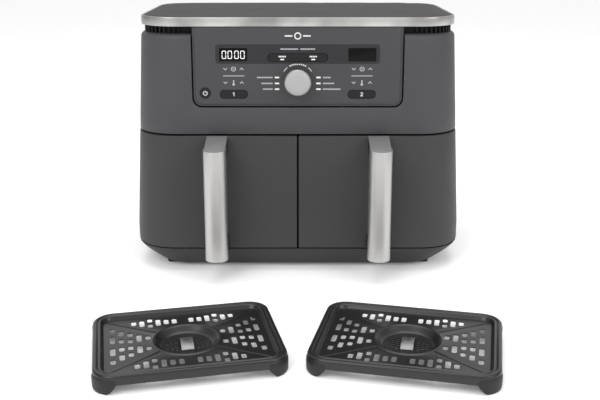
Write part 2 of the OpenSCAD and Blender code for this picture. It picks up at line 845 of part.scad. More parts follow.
module at_handle(side) in_fryer() on_side(side) translate([handle_x, 0, 0]) children();

module handle_core(side) color([0.09, 0.09, 0.09]) at_handle(side) difference() {
    intersection() {
        translate([0, 0, handle_z]) linear_extrude(drawer_h + 10) handle_plan(facing_t);
        under_cap(cap_t);
    }
    translate([-handle_w, 0, 0]) rotate([90, 0, 90]) linear_extrude(2 * handle_w)
        translate([-core_back / 2, handle_z + arm_h])
            outline(core_back, drawer_top - handle_z - 2 * arm_h, grip_r);
    translate([-handle_w, -grip_r, handle_z + arm_h])
        cube([2 * handle_w, 2 * grip_r, drawer_top - handle_z - 2 * arm_h]);
    for (z = [handle_z + arm_h / 2, drawer_top - arm_h / 2])
        rod_y(0, -handle_screw_l, z, screw_r, handle_screw_l + eps);
}

module left_handle_core() handle_core("left");
module right_handle_core() handle_core("right");

module handle_facing(side) color([0.78, 0.78, 0.79]) at_handle(side) intersection() {
    difference() {
        translate([0, 0, handle_z]) linear_extrude(drawer_h + 10) handle_plan(0);
        translate([0, 0, handle_z - eps]) linear_extrude(drawer_h + 12) handle_plan(facing_t);
        block([-handle_w, facing_d - handle_out, 0], [handle_w, eps, 2 * drawer_top]);
    }
    under_cap(cap_t);
}

module left_handle_facing() handle_facing("left");
module right_handle_facing() handle_facing("right");

module handle_cap(side) color([0.55, 0.55, 0.56]) at_handle(side) difference() {
    intersection() {
        translate([0, 0, handle_z]) linear_extrude(drawer_h + 10) handle_plan(0);
        under_cap(0);
        block([-handle_w, -2 * handle_out, 0], [handle_w, 0, 2 * drawer_top]);
    }
    under_cap(cap_t);
}

module left_handle_cap() handle_cap("left");
module right_handle_cap() handle_cap("right");

module handle_screws(side) color([0.62, 0.62, 0.64]) at_handle(side)
    for (z = [handle_z + arm_h / 2, drawer_top - arm_h / 2]) {
        rod_y(0, -handle_screw_l, z, screw_r, handle_screw_l + shell_wall);
        rod_y(0, shell_wall, z, head_r, head_h);
    }

module left_handle_screws() handle_screws("left");
module right_handle_screws() handle_screws("right");

// ---- Crisper plates, laid out on the worktop ----

module at_plate(side) in_fryer() on_side(side)
    translate([plate_x, -plate_y, 0]) rotate([0, 0, -plate_turn]) children();

module plate_slab(inset, z, h) {
    slab(plate_l - 2 * inset, plate_w - 2 * inset, plate_r - inset, inset - plate_w / 2, z, h);
}

// Perforations of one quarter of the plate, as [x, y, length]
function end_holes() = [
    for (i = [0 : 4]) let (x = 38.5 + 8.9 * i)
        each [[x, [12, 12.5, 7.5, 9, 13.5][i], [5.4, 13, 5.4, 6, 13][i]],
            if (i > 1) [x, [22.5, 27, 35][i - 2], [5.4, 9, 6.5][i - 2]]]
];
function side_holes() = [
    for (i = [0 : 5]) if (i != 3) [9 + 8.5 * i, 46.5 + (i == 5 ? 2 : 0), [9, 9, 13, 0, 12, 6.5][i]],
    [34.5, 39.5, 5.4], [34.5, 53, 5.4]
];

module crisper_plate(side) color([0.15, 0.15, 0.155]) at_plate(side) difference() {
    union() {
        difference() {
            plate_slab(0, plate_h - skirt_depth, skirt_depth);
            plate_slab(tray_t, plate_h - skirt_depth - eps, skirt_depth - tray_t + eps);
            plate_slab(rim_w, plate_h - 2 * tray_t, 3 * tray_t);
        }
        difference() {
            plate_slab(rim_w - tray_t, tray_floor - tray_t, plate_h - tray_floor);
            plate_slab(rim_w, tray_floor, plate_h);
        }
        translate([0, 0, tray_floor - well_depth]) cylinder(r = well_r, h = well_depth);
    }
    translate([0, 0, tray_floor - well_depth + tray_t]) cylinder(r = well_r - tray_t, h = plate_h);
    for (hole = concat(end_holes(), side_holes()))
        for (sx = [-1, 1])
            for (sy = [-1, 1])
                translate([sx * hole[0] - hole_w / 2, sy * hole[1] - hole[2] / 2, tray_floor - 2 * tray_t])
                    cube([hole_w, hole[2], 3 * tray_t]);
}

module left_crisper_plate() crisper_plate("left");
module right_crisper_plate() crisper_plate("right");

module plate_feet(side) color([0.05, 0.05, 0.05]) at_plate(side) difference() {
    intersection() {
        difference() {
            plate_slab(-hook_out, 0, hook_top);
            plate_slab(hook_in, -eps, hook_top + 2 * eps);
        }
        for (sx = [-1, 1])
            for (sy = [-1, 1])
                translate([sx * (plate_l - hook_len) / 2, sy * (plate_w - hook_len) / 2, plate_h / 2])
                    cube([hook_len + 4 * hook_out, hook_len + 4 * hook_out, 2 * plate_h], center = true);
    }
    difference() {
        plate_slab(0, plate_h - skirt_depth, skirt_depth);
        plate_slab(tray_t, plate_h - skirt_depth - eps, skirt_depth + 2 * eps);
    }
}

module left_plate_feet() plate_feet("left");
module right_plate_feet() plate_feet("right");

// Lifting strap across the well, standing on its floor at both ends
module plate_strap(side) color([0.6, 0.6, 0.61]) at_plate(side) {
    floor_z = tray_floor - well_depth + tray_t;
    block([-strap_w / 2, -strap_l / 2, floor_z + strap_up],
        [strap_w / 2, strap_l / 2, floor_z + strap_up + tray_t]);
    for (y = [-strap_l / 2, strap_l / 2 - tray_t])
        block([-strap_w / 2, y, floor_z], [strap_w / 2, y + tray_t, floor_z + strap_up + tray_t / 2]);
}

module left_plate_strap() plate_strap("left");
module right_plate_strap() plate_strap("right");

// ---- Drawing ----

housing_shell();
base_pan();
drawer_bulkhead();
motor_deck();
rear_grille();
top_cover();
top_trim();
vent_band();
control_panel();
display_band();
left_display();
right_display();
control_board();
dial_encoder();
power_board();
left_cavity_liner();
right_cavity_liner();
drawer_rails();
left_heater();
right_heater();
left_motor();
right_motor();
cord_gland();
feet();
base_screws();
rear_screws();
left_impeller();
left_fan_shaft();
left_cooling_fan();
right_impeller();
right_fan_shaft();
right_cooling_fan();
dial_collar();
dial_shaft();
dial_knob();
dial_face();
power_button();
left_zone_button();
right_zone_button();
mode_key();
left_drawer_front();
left_drawer_cover();
left_basket();
left_handle_core();
left_handle_facing();
left_handle_cap();
left_handle_screws();
right_drawer_front();
right_drawer_cover();
right_basket();
right_handle_core();
right_handle_facing();
right_handle_cap();
right_handle_screws();
left_crisper_plate();
left_plate_feet();
left_plate_strap();
right_crisper_plate();
right_plate_feet();
right_plate_strap();
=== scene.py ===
import math

import bmesh
import bpy
from mathutils import Matrix, Vector


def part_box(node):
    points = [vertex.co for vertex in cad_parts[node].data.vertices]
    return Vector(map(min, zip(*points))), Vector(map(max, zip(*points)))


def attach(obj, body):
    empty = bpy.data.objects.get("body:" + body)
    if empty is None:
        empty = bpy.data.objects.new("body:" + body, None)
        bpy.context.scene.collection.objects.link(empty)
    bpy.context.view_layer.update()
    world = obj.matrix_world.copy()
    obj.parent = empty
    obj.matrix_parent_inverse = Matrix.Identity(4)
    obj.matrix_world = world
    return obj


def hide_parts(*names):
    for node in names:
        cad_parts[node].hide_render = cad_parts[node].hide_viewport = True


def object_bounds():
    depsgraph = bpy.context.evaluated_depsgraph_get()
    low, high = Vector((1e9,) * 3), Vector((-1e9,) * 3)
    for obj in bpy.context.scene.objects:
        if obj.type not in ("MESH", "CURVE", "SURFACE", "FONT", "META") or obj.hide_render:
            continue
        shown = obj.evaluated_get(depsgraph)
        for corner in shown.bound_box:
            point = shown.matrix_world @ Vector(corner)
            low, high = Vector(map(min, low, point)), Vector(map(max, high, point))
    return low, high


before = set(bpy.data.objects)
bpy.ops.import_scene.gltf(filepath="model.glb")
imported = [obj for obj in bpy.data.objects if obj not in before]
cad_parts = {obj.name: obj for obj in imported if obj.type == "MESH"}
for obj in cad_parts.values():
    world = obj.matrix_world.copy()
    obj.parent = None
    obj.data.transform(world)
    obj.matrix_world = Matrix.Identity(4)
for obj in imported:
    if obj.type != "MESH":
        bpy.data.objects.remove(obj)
cadLow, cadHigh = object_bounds()
mm = 0.001
sides = {"left": -1, "right": 1}

shellLow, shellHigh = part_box("housing_shell")
drawerLow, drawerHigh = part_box("right_drawer_front")
trimLow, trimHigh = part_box("top_trim")
ventLow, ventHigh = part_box("vent_band")
panelLow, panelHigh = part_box("control_panel")
bandLow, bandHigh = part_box("display_band")
frontY, backY, halfBody = shellLow.y, shellHigh.y, shellHigh.x
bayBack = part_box("drawer_bulkhead")[0].y
dialZ = (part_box("dial_face")[0].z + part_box("dial_face")[1].z) / 2
worktopZ = cadLow.z


stageLook = {
    "cameraAway": 1050 * mm, "cameraHeight": 414 * mm, "cameraPitch": 13.79, "cameraSide": 2.7 * mm,
    "lens": 52.74, "sensor": 36.0, "shift": -0.08, "floorSize": 40.0, "floorColour": "#fafafa",
    "floorGlow": 0.13, "worldStrength": 1.0, "sideStrength": 0.45, "dimFrom": 0.35, "dimTo": 0.9,
    "backdropGain": 1.1, "keyPower": 14.0, "fillPower": 8.0, "topPower": 12.0,
}


def toLinear(hexColour, alpha=1.0):
    values = [int(hexColour[i:i + 2], 16) / 255 for i in (1, 3, 5)]
    return [*(v / 12.92 if v <= 0.04045 else ((v + 0.055) / 1.055) ** 2.4 for v in values), alpha]


def addNode(tree, kind, inputs=None, links=None, **settings):
    node = tree.nodes.new(kind)
    for name, value in settings.items():
        setattr(node, name, value)
    for key, value in (inputs or {}).items():
        node.inputs[key].default_value = value
    for key, source in (links or {}).items():
        tree.links.new(source, node.inputs[key])
    return node


def addCamera(look):
    data = bpy.data.cameras.new("studioCamera")
    data.lens, data.sensor_width, data.shift_y = look["lens"], look["sensor"], look["shift"]
    camera = bpy.data.objects.new("studioCamera", data)
    bpy.context.scene.collection.objects.link(camera)
    camera.location = (look["cameraSide"], frontY - look["cameraAway"], look["cameraHeight"])
    camera.rotation_euler = (math.radians(90 - look["cameraPitch"]), 0, 0)
    bpy.context.scene.camera = camera


def addSoftbox(name, place, target, size, power):
    data = bpy.data.lights.new(name, "AREA")
    data.shape, data.size, data.size_y, data.energy = "RECTANGLE", size[0], size[1], power
    box = bpy.data.objects.new(name, data)
    bpy.context.scene.collection.objects.link(box)
    box.location = place
    box.rotation_euler = (Vector(target) - Vector(place)).to_track_quat("-Z", "Y").to_euler()


def addStage(look):
    world = bpy.data.worlds.new("studio")
    world.use_nodes = True
    tree = world.node_tree
    backdrop = tree.nodes["Background"]
    backdrop.inputs["Color"].default_value = toLinear("#ffffff")
    # the studio is dimmer to the left and right, so rounded edges darken; the backdrop itself stays white
    around = addNode(tree, "ShaderNodeTexCoord").outputs["Generated"]
    way = addNode(tree, "ShaderNodeSeparateXYZ", {}, {"Vector": around})
    across = addNode(tree, "ShaderNodeMath", {}, {0: way.outputs["X"]}, operation="ABSOLUTE")
    dimmed = addNode(tree, "ShaderNodeMapRange", {"From Min": look["dimFrom"], "From Max": look["dimTo"],
        "To Min": look["worldStrength"], "To Max": look["sideStrength"]}, {"Value": across.outputs[0]},
        interpolation_type="SMOOTHSTEP")
    seen = addNode(tree, "ShaderNodeLightPath").outputs["Is Camera Ray"]
    strength = addNode(tree, "ShaderNodeMix", {"B": look["worldStrength"] * look["backdropGain"]},
        {"Factor": seen, "A": dimmed.outputs[0]})
    tree.links.new(strength.outputs[0], backdrop.inputs["Strength"])
    bpy.context.scene.world = world
    bpy.context.scene.view_settings.view_transform = "Standard"
    middle = (0, frontY, 150 * mm)
    addSoftbox("keyBox", (-0.9, frontY - 1.3, 1.5), middle, (1.2, 0.9), look["keyPower"])
    addSoftbox("fillBox", (1.3, frontY - 1.0, 1.1), middle, (0.9, 0.9), look["fillPower"])
    addSoftbox("topBox", (0.0, frontY + 0.1, 1.9), middle, (1.6, 1.2), look["topPower"])
    half = look["floorSize"] / 2
    mesh = bpy.data.meshes.new("studioFloor")
    mesh.from_pydata([(-half, -half, worktopZ), (half, -half, worktopZ), (half, half, worktopZ),
        (-half, half, worktopZ)], [], [(0, 1, 2, 3)])
    floor = bpy.data.objects.new("studioFloor", mesh)
    bpy.context.scene.collection.objects.link(floor)
    paper = bpy.data.materials.new("matPaper")
    paper.use_nodes = True
    shader = paper.node_tree.nodes["Principled BSDF"]
    shader.inputs["Base Color"].default_value = toLinear(look["floorColour"])
    shader.inputs["Roughness"].default_value = 0.9
    shader.inputs["Specular IOR Level"].default_value = 0.1
    shader.inputs["Emission Color"].default_value = toLinear(look["floorColour"])
    shader.inputs["Emission Strength"].default_value = look["floorGlow"]
    mesh.materials.append(paper)


addCamera(stageLook)
addStage(stageLook)
print("stage: camera, light and floor")


def startMaterial(name, colour, values):
    material = bpy.data.materials.new(name)
    material.use_nodes = True
    tree = material.node_tree
    shader = tree.nodes["Principled BSDF"]
    shader.inputs["Base Color"].default_value = toLinear(colour)
    for key, value in values.items():
        shader.inputs[key].default_value = value
    place = addNode(tree, "ShaderNodeTexCoord").outputs["Object"]
    return material, tree, shader, place


def mottle(tree, place, size, colourA, colourB, detail=3):  # slow change between two close colours
    noise = addNode(tree, "ShaderNodeTexNoise", {"Scale": 1 / size, "Detail": detail}, {"Vector": place})
    mix = addNode(tree, "ShaderNodeMix", {6: toLinear(colourA), 7: toLinear(colourB)},
        {"Factor": noise.outputs["Fac"]}, data_type="RGBA")
    return mix.outputs[2]


def spread(tree, source, low, high):  # stretches a 0 to 1 value to a range
    return addNode(tree, "ShaderNodeMapRange", {"To Min": low, "To Max": high}, {"Value": source}).outputs[0]


def moulded(name, colourA, colourB, roughness, grainSize, grainDepth, extra=None):
    material, tree, shader, place = startMaterial(name, colourA, {"IOR": 1.5, **(extra or {})})
    tree.links.new(mottle(tree, place, 60 * mm, colourA, colourB), shader.inputs["Base Color"])
    grain = addNode(tree, "ShaderNodeTexNoise", {"Scale": 1 / grainSize, "Detail": 4}, {"Vector": place})
    handled = addNode(tree, "ShaderNodeTexNoise", {"Scale": 1 / (35 * mm), "Detail": 2}, {"Vector": place})
    tree.links.new(spread(tree, handled.outputs["Fac"], roughness - 0.05, roughness + 0.05),
        shader.inputs["Roughness"])
    bump = addNode(tree, "ShaderNodeBump", {"Strength": 0.35, "Distance": grainDepth},
        {"Height": grain.outputs["Fac"]})
    tree.links.new(bump.outputs["Normal"], shader.inputs["Normal"])
    return material


def brushed(name, colourA, colourB, roughness, along, lineSize=0.5 * mm, streak=14 * mm, paintedReflectionSize=None):
    # fine parallel scratches: long along one axis, half a millimetre apart so that they show
    material, tree, shader, place = startMaterial(name, colourA, {"Metallic": 1.0})
    stretch = [1.0, 1.0, 1.0]
    stretch["XYZ".index(along)] = 0.012
    drawn = addNode(tree, "ShaderNodeMapping", {"Scale": stretch}, {"Vector": place}).outputs[0]
    lines = addNode(tree, "ShaderNodeTexNoise", {"Scale": 1 / lineSize, "Detail": 5}, {"Vector": drawn})
    broad = addNode(tree, "ShaderNodeTexNoise", {"Scale": 1 / streak, "Detail": 2}, {"Vector": drawn})
    both = addNode(tree, "ShaderNodeMix", {"Factor": 0.45},
        {"A": lines.outputs["Fac"], "B": broad.outputs["Fac"]}).outputs[0]
    if paintedReflectionSize:  # painted reflection: slow light and dark bands in the metal's colour along its length, standing in for the studio's reflections
        slow = addNode(tree, "ShaderNodeTexNoise", {"Scale": 1 / paintedReflectionSize, "Detail": 1}, {"Vector": place})
        paintedReflection = addNode(tree, "ShaderNodeMapRange", {"From Min": 0.35, "From Max": 0.65},
            {"Value": slow.outputs["Fac"]})
        both = addNode(tree, "ShaderNodeMix", {"Factor": 0.6}, {"A": both, "B": paintedReflection.outputs[0]}).outputs[0]
    colour = addNode(tree, "ShaderNodeMix", {6: toLinear(colourA), 7: toLinear(colourB)},
        {"Factor": both}, data_type="RGBA")
    tree.links.new(colour.outputs[2], shader.inputs["Base Color"])
    tree.links.new(spread(tree, lines.outputs["Fac"], roughness - 0.07, roughness + 0.09),
        shader.inputs["Roughness"])
    bump = addNode(tree, "ShaderNodeBump", {"Strength": 0.25, "Distance": 0.03 * mm},
        {"Height": lines.outputs["Fac"]})
    tree.links.new(bump.outputs["Normal"], shader.inputs["Normal"])
    return material


def turned(name, colourA, colourB, roughness, centre):
    # lathe-turned face: rings round the dial's axis
    material, tree, shader, place = startMaterial(name, colourA, {"Metallic": 1.0})
    moved = addNode(tree, "ShaderNodeMapping", {"Location": [-c for c in centre]}, {"Vector": place}).outputs[0]
    apart = addNode(tree, "ShaderNodeSeparateXYZ", {}, {"Vector": moved})
    flat = addNode(tree, "ShaderNodeCombineXYZ", {}, {"X": apart.outputs["X"], "Z": apart.outputs["Z"]})
    radius = addNode(tree, "ShaderNodeVectorMath", {}, {0: flat.outputs[0]}, operation="LENGTH")
    rings = addNode(tree, "ShaderNodeTexNoise", {"Scale": 1 / (0.35 * mm), "Detail": 3},
        {"W": radius.outputs["Value"]}, noise_dimensions="1D")
    colour = addNode(tree, "ShaderNodeMix", {6: toLinear(colourA), 7: toLinear(colourB)},
        {"Factor": rings.outputs["Fac"]}, data_type="RGBA")
    tree.links.new(colour.outputs[2], shader.inputs["Base Color"])
    tree.links.new(spread(tree, rings.outputs["Fac"], roughness - 0.06, roughness + 0.08),
        shader.inputs["Roughness"])
    bump = addNode(tree, "ShaderNodeBump", {"Strength": 0.3, "Distance": 0.03 * mm},
        {"Height": rings.outputs["Fac"]})
    tree.links.new(bump.outputs["Normal"], shader.inputs["Normal"])
    return material


def sheetMetal(name, colourA, colourB, roughness, blotch):
    # zinc spangle or mill finish: soft blotches that change colour and gloss together
    material, tree, shader, place = startMaterial(name, colourA, {"Metallic": 1.0})
    cells = addNode(tree, "ShaderNodeTexVoronoi", {"Scale": 1 / blotch}, {"Vector": place})
    tone = addNode(tree, "ShaderNodeSeparateColor", {}, {"Color": cells.outputs["Color"]}).outputs[0]
    colour = addNode(tree, "ShaderNodeMix", {6: toLinear(colourA), 7: toLinear(colourB)},
        {"Factor": tone}, data_type="RGBA")
    tree.links.new(colour.outputs[2], shader.inputs["Base Color"])
    tree.links.new(spread(tree, tone, roughness - 0.06, roughness + 0.06), shader.inputs["Roughness"])
    return material


def glow(name, colour, strength):
    material, tree, shader, place = startMaterial(name, colour, {"Emission Color": toLinear(colour),
        "Roughness": 0.4})
    flicker = addNode(tree, "ShaderNodeTexNoise", {"Scale": 1 / (2 * mm)}, {"Vector": place})
    tree.links.new(spread(tree, flicker.outputs["Fac"], strength * 0.92, strength * 1.08),
        shader.inputs["Emission Strength"])
    return material


finish = {
    # spark-eroded ABS: dark grey, satin, with a very fine grain
    "housingAbs": moulded("housingAbs", "#434345", "#474749", 0.5, 0.7 * mm, 0.03 * mm,
        {"Specular IOR Level": 0.25}),
    # the same ABS as the housing, painted a shade darker on the drawers: painted shade for the lower, less lit
    # front
    "drawerAbsPaintedShade": moulded("drawerAbsPaintedShade", "#39393a", "#3d3d3e", 0.5, 0.7 * mm, 0.03 * mm,
        {"Specular IOR Level": 0.25}),
    # the top cover: dark ABS, matt
    "lidAbs": moulded("lidAbs", "#262627", "#29292a", 0.6, 0.7 * mm, 0.03 * mm,
        {"Specular IOR Level": 0.2}),
    "panelAbs": moulded("panelAbs", "#404042", "#444446", 0.52, 0.5 * mm, 0.02 * mm,
        {"Specular IOR Level": 0.25}),
    # unpainted black ABS: grilles, cores and covers, nearly matt
    "blackAbs": moulded("blackAbs", "#0f0f10", "#131314", 0.6, 0.6 * mm, 0.04 * mm),
    "ventAbs": moulded("ventAbs", "#0a0a0b", "#0e0e0f", 0.7, 0.6 * mm, 0.04 * mm),
    "baseAbs": moulded("baseAbs", "#353536", "#39393a", 0.55, 0.7 * mm, 0.04 * mm,
        {"Specular IOR Level": 0.25}),
    # printed polyester film over the display, smooth and darker than the panel
    "printedFilm": moulded("printedFilm", "#2b2b2d", "#2e2e30", 0.4, 0.5 * mm, 0.005 * mm,
        {"Specular IOR Level": 0.2}),
    "keyAbs": moulded("keyAbs", "#1c1c1e", "#1f1f21", 0.45, 0.5 * mm, 0.02 * mm,
        {"Specular IOR Level": 0.2}),
    # smoked acrylic lens: black with a clear gloss
    "smokedAcrylic": moulded("smokedAcrylic", "#070708", "#09090a", 0.16, 0.6 * mm, 0.002 * mm,
        {"Specular IOR Level": 0.12}),
    # rolled stainless strip, brushed along its length: long streaks, and slow bands of painted reflection in
    # its colour
    "brushedSteelAcross": brushed("brushedSteelAcross", "#848382", "#c8c7c6", 0.34, "X",
        streak=26 * mm, paintedReflectionSize=38 * mm),
    # the handles' facings, brushed upright
    "brushedSteelUpright": brushed("brushedSteelUpright", "#a3a2a1", "#d4d3d2", 0.42, "Z", streak=8 * mm),
    # sprayed satin paint on the handle caps, a cool mid grey
    "satinPaint": moulded("satinPaint", "#747475", "#7b7b7c", 0.42, 0.5 * mm, 0.02 * mm),
    "dialAluminium": turned("dialAluminium", "#999999", "#bababa", 0.34,
        list((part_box("dial_face")[0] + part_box("dial_face")[1]) / 2)),
    "gripAluminium": brushed("gripAluminium", "#6f6f6f", "#868685", 0.36, "Y"),
    # PTFE-type non-stick on steel: near black, low sheen, faint orange peel
    "nonStick": moulded("nonStick", "#161617", "#1a1a1b", 0.3, 1.4 * mm, 0.05 * mm),
    "siliconeRubber": moulded("siliconeRubber", "#0c0c0d", "#101011", 0.55, 0.8 * mm, 0.03 * mm),
    # galvanised sheet: spangle about 9 mm across
    "zincSheet": sheetMetal("zincSheet", "#8f9294", "#a6a9ab", 0.42, 9 * mm),
    "groundSteel": sheetMetal("groundSteel", "#7e7e7f", "#8c8c8d", 0.42, 3 * mm),
    "oxidisedTube": sheetMetal("oxidisedTube", "#3f3a37", "#57504b", 0.5, 6 * mm),
    "motorCan": sheetMetal("motorCan", "#6b6d70", "#7b7d80", 0.4, 12 * mm),
    # green solder mask on the boards, semi-gloss
    "solderMask": moulded("solderMask", "#14502a", "#1a5a30", 0.35, 1.2 * mm, 0.02 * mm),
    "whiteInk": moulded("whiteInk", "#d2d2d2", "#dadada", 0.6, 0.4 * mm, 0.002 * mm),
    "greyInk": moulded("greyInk", "#aeaeb0", "#b6b6b8", 0.6, 0.4 * mm, 0.002 * mm),
    "litSegment": glow("litSegment", "#e8e8e6", 0.6),
    "lampInk": glow("lampInk", "#d0d0ce", 0.3),
}
print("materials: %d" % len(finish))


def newPiece(name, verts, faces, material, edges=()):
    mesh = bpy.data.meshes.new(name)
    mesh.from_pydata([tuple(v) for v in verts], list(edges), faces)
    piece = bpy.data.objects.new(name, mesh)
    bpy.context.scene.collection.objects.link(piece)
    mesh.materials.append(finish[material])
    return piece


def bakeModifiers(piece):
    dg = bpy.context.evaluated_depsgraph_get()
    dg.update()
    mesh = bpy.data.meshes.new_from_object(piece.evaluated_get(dg))
    piece.modifiers.clear()
    piece.data = mesh
    return piece


def tidyNormals(piece, weld=0.00001):
    bm = bmesh.new()
    bm.from_mesh(piece.data)
    bmesh.ops.remove_doubles(bm, verts=bm.verts, dist=weld)
    bmesh.ops.recalc_face_normals(bm, faces=bm.faces)
    bm.to_mesh(piece.data)
    bm.free()


def smoothFaces(piece, angle=32):
    piece.data.shade_smooth()
    piece.data.set_sharp_from_angle(angle=math.radians(angle))


def roundEdges(piece, width, steps=3, angle=35):
    bevel = piece.modifiers.new("edge", "BEVEL")
    bevel.width, bevel.segments = width, steps
    bevel.limit_method, bevel.angle_limit = "ANGLE", math.radians(angle)
    bevel.use_clamp_overlap = True
    bakeModifiers(piece)


def rideWithSlot(piece, body):
    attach(piece, body)


def finishPiece(piece, body, replaced=(), edge=0, steps=3, angle=32):
    tidyNormals(piece)
    if edge:
        roundEdges(piece, edge, steps)
    smoothFaces(piece, angle)
    rideWithSlot(piece, body)
    if replaced:
        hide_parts(*replaced)
    return piece


def cutAway(piece, cutters):
    for cutter in cutters:
        tidyNormals(cutter)
        boolean = piece.modifiers.new("cut", "BOOLEAN")
        boolean.operation, boolean.solver, boolean.object = "DIFFERENCE", "EXACT", cutter
    bakeModifiers(piece)
    for cutter in cutters:
        bpy.data.objects.remove(cutter)


def loftLoops(name, loops, material, ring=False, capFirst=False, capLast=False):
    count, verts, faces = len(loops[0]), [p for loop in loops for p in loop], []
    for k in range(len(loops) if ring else len(loops) - 1):
        a, b = k * count, ((k + 1) % len(loops)) * count
        for i in range(count):
            j = (i + 1) % count
            faces.append((a + i, a + j, b + j, b + i))
    if capFirst:
        faces.append(tuple(reversed(range(count))))
    if capLast:
        faces.append(tuple(range((len(loops) - 1) * count, len(loops) * count)))
    return newPiece(name, verts, faces, material)


def wallStrip(name, levels, material):  # open wall: each level is its outer points and its inner points
    count, faces = len(levels[0][0]), []
    verts = [p for outer, inner in levels for p in [*outer, *inner]]

    def at(level, inner, i):
        return level * 2 * count + inner * count + i
    last = len(levels) - 1
    for k in range(last):
        for i in range(count - 1):
            faces.append((at(k, 0, i), at(k, 0, i + 1), at(k + 1, 0, i + 1), at(k + 1, 0, i)))
            faces.append((at(k, 1, i + 1), at(k, 1, i), at(k + 1, 1, i), at(k + 1, 1, i + 1)))
        for i in (0, count - 1):
            faces.append((at(k, 0, i), at(k + 1, 0, i), at(k + 1, 1, i), at(k, 1, i)))
    for k in (0, last):
        for i in range(count - 1):
            faces.append((at(k, 0, i), at(k, 0, i + 1), at(k, 1, i + 1), at(k, 1, i)))
    return newPiece(name, verts, faces, material)


def roundedLoop(halfWidth, front, back, radius, steps=12):  # counter-clockwise seen from above
    corners = [(1, front + radius, -90), (1, back - radius, 0), (-1, back - radius, 90),
        (-1, front + radius, 180)]
    points = []
    for side, y, start in corners:
        for step in range(steps + 1):
            turn = math.radians(start + 90 * step / steps)
            points.append((side * (halfWidth - radius) + radius * math.cos(turn), y + radius * math.sin(turn)))
    return points


def boxPiece(name, low, high, material="blackAbs"):
    corners = [(x, y, z) for x in (low[0], high[0]) for y in (low[1], high[1]) for z in (low[2], high[2])]
    return newPiece(name, corners, [(0, 1, 3, 2), (4, 6, 7, 5), (0, 4, 5, 1), (2, 3, 7, 6), (0, 2, 6, 4),
        (1, 5, 7, 3)], material)


def prism(bm, outline, yFront, yBack):  # upright outline in x, z given a thickness along y
    front = [bm.verts.new((x, yFront, z)) for x, z in outline]
    back = [bm.verts.new((x, yBack, z)) for x, z in outline]
    bm.faces.new(front)
    bm.faces.new(list(reversed(back)))
    for i in range(len(outline)):
        j = (i + 1) % len(outline)
        bm.faces.new((front[j], front[i], back[i], back[j]))


def uprightOutline(x, z, width, height, radius, steps=6):
    return [(x + px, py) for px, py in roundedLoop(width / 2, z - height / 2, z + height / 2, radius, steps)]


def uprightPrism(name, x, z, width, height, radius, yFront, yBack, material="blackAbs", steps=6):
    bm = bmesh.new()
    prism(bm, uprightOutline(x, z, width, height, radius, steps), yFront, yBack)
    return meshPiece(name, bm, material)


def meshPiece(name, bm, material):
    piece = newPiece(name, [], [], material)
    bm.to_mesh(piece.data)
    bm.free()
    return piece


housing = {
    "corner": 52 * mm, "wall": 2.6 * mm, "draft": 13.0 * mm, "draftFrom": 55 * mm, "shoulder": 6 * mm,
    "creaseZ": 197 * mm, "brow": 1.4 * mm, "cutterReach": 20 * mm, "topGap": 2.4 * mm,
    "panelGap": 1.5 * mm, "panelLap": 10 * mm, "panelFoot": 7.6 * mm,
    "innerGap": 1.5 * mm,  # stand-off of the inner walls; at over 0 the bulkhead cuts slightly into the baskets
    "panelCorner": 10 * mm, "roofReach": 20 * mm, "edge": 0.5 * mm, "taperFrom": 130 * mm,
}
bayTop = drawerHigh.z + housing["topGap"]


def bodyInsets(z):
    side = housing["draft"] * max(0, (z - housing["draftFrom"]) / (shellHigh.z - housing["draftFrom"]))
    below = (housing["creaseZ"] - z) / (housing["creaseZ"] - bayTop)
    return side, housing["brow"] * min(1, max(0, below))


def bodyLoop(z, inset, steps=14):
    side, front = bodyInsets(z)
    loop = roundedLoop(halfBody - side - inset, frontY + front + inset, backY - inset,
        housing["corner"] - inset, steps)
    return [(x, y, z) for x, y in loop]


def makeHousing():
    wall, round_, top, bottom = housing["wall"], housing["shoulder"], shellHigh.z, shellLow.z
    heights = [bottom + housing["edge"], 45 * mm, housing["draftFrom"], 90 * mm, 130 * mm, bayTop,
        housing["creaseZ"], 240 * mm, top - round_]
    loops = [bodyLoop(bottom, wall), bodyLoop(bottom, housing["edge"])]
    loops += [bodyLoop(z, 0) for z in heights]
    for step in range(1, 6):
        turn = math.radians(90 * step / 5)
        loops.append(bodyLoop(top - round_ + round_ * math.sin(turn), round_ * (1 - math.cos(turn))))
    loops += [bodyLoop(top, housing["roofReach"]), bodyLoop(top - wall, housing["roofReach"]),
        bodyLoop(top - wall, wall), bodyLoop(housing["creaseZ"], wall), bodyLoop(bayTop, wall)]
    shell = loftLoops("housingSkin", loops, "housingAbs", ring=True)
    tidyNormals(shell)
    far = housing["cutterReach"]
    bay = boxPiece("bayCutter", (-halfBody - far, frontY - far, bottom - far),
        (halfBody + far, bayBack, bayTop))
    panelTop = top + 60 * mm
    panelBottom = panelLow.z + housing["panelFoot"] - housing["panelGap"]
    window = uprightPrism("panelCutter", 0, (panelBottom + panelTop) / 2,
        2 * (panelHigh.x - housing["panelLap"] + housing["panelGap"]), panelTop - panelBottom,
        housing["panelCorner"] + housing["panelGap"], frontY - far, frontY + 8 * mm)
    grilleLow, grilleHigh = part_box("rear_grille")
    grille = boxPiece("grilleCutter", (grilleLow.x, grilleLow.y - far, grilleLow.z),
        (grilleHigh.x, grilleHigh.y + far, grilleHigh.z))
    cutAway(shell, [bay, window, grille])
    finishPiece(shell, "fryer", ["housing_shell"], edge=0.45 * mm, steps=2, angle=30)
    path = [p for p in bodyLoop(bayTop, 1.2 * mm) if p[1] < bayBack]
    half = len(path) // 2
    path = [(path[half][0], bayBack, bayTop), *path[half:], *path[:half], (path[half - 1][0], bayBack, bayTop)]
    shelf = newPiece("drawerShelf", path + [(x, y, z + wall) for x, y, z in path],
        [tuple(reversed(range(len(path)))), tuple(range(len(path), 2 * len(path)))]
        + [(i, (i + 1) % len(path), len(path) + (i + 1) % len(path), len(path) + i) for i in range(len(path))],
        "blackAbs")
    finishPiece(shelf, "fryer", edge=0.3 * mm)


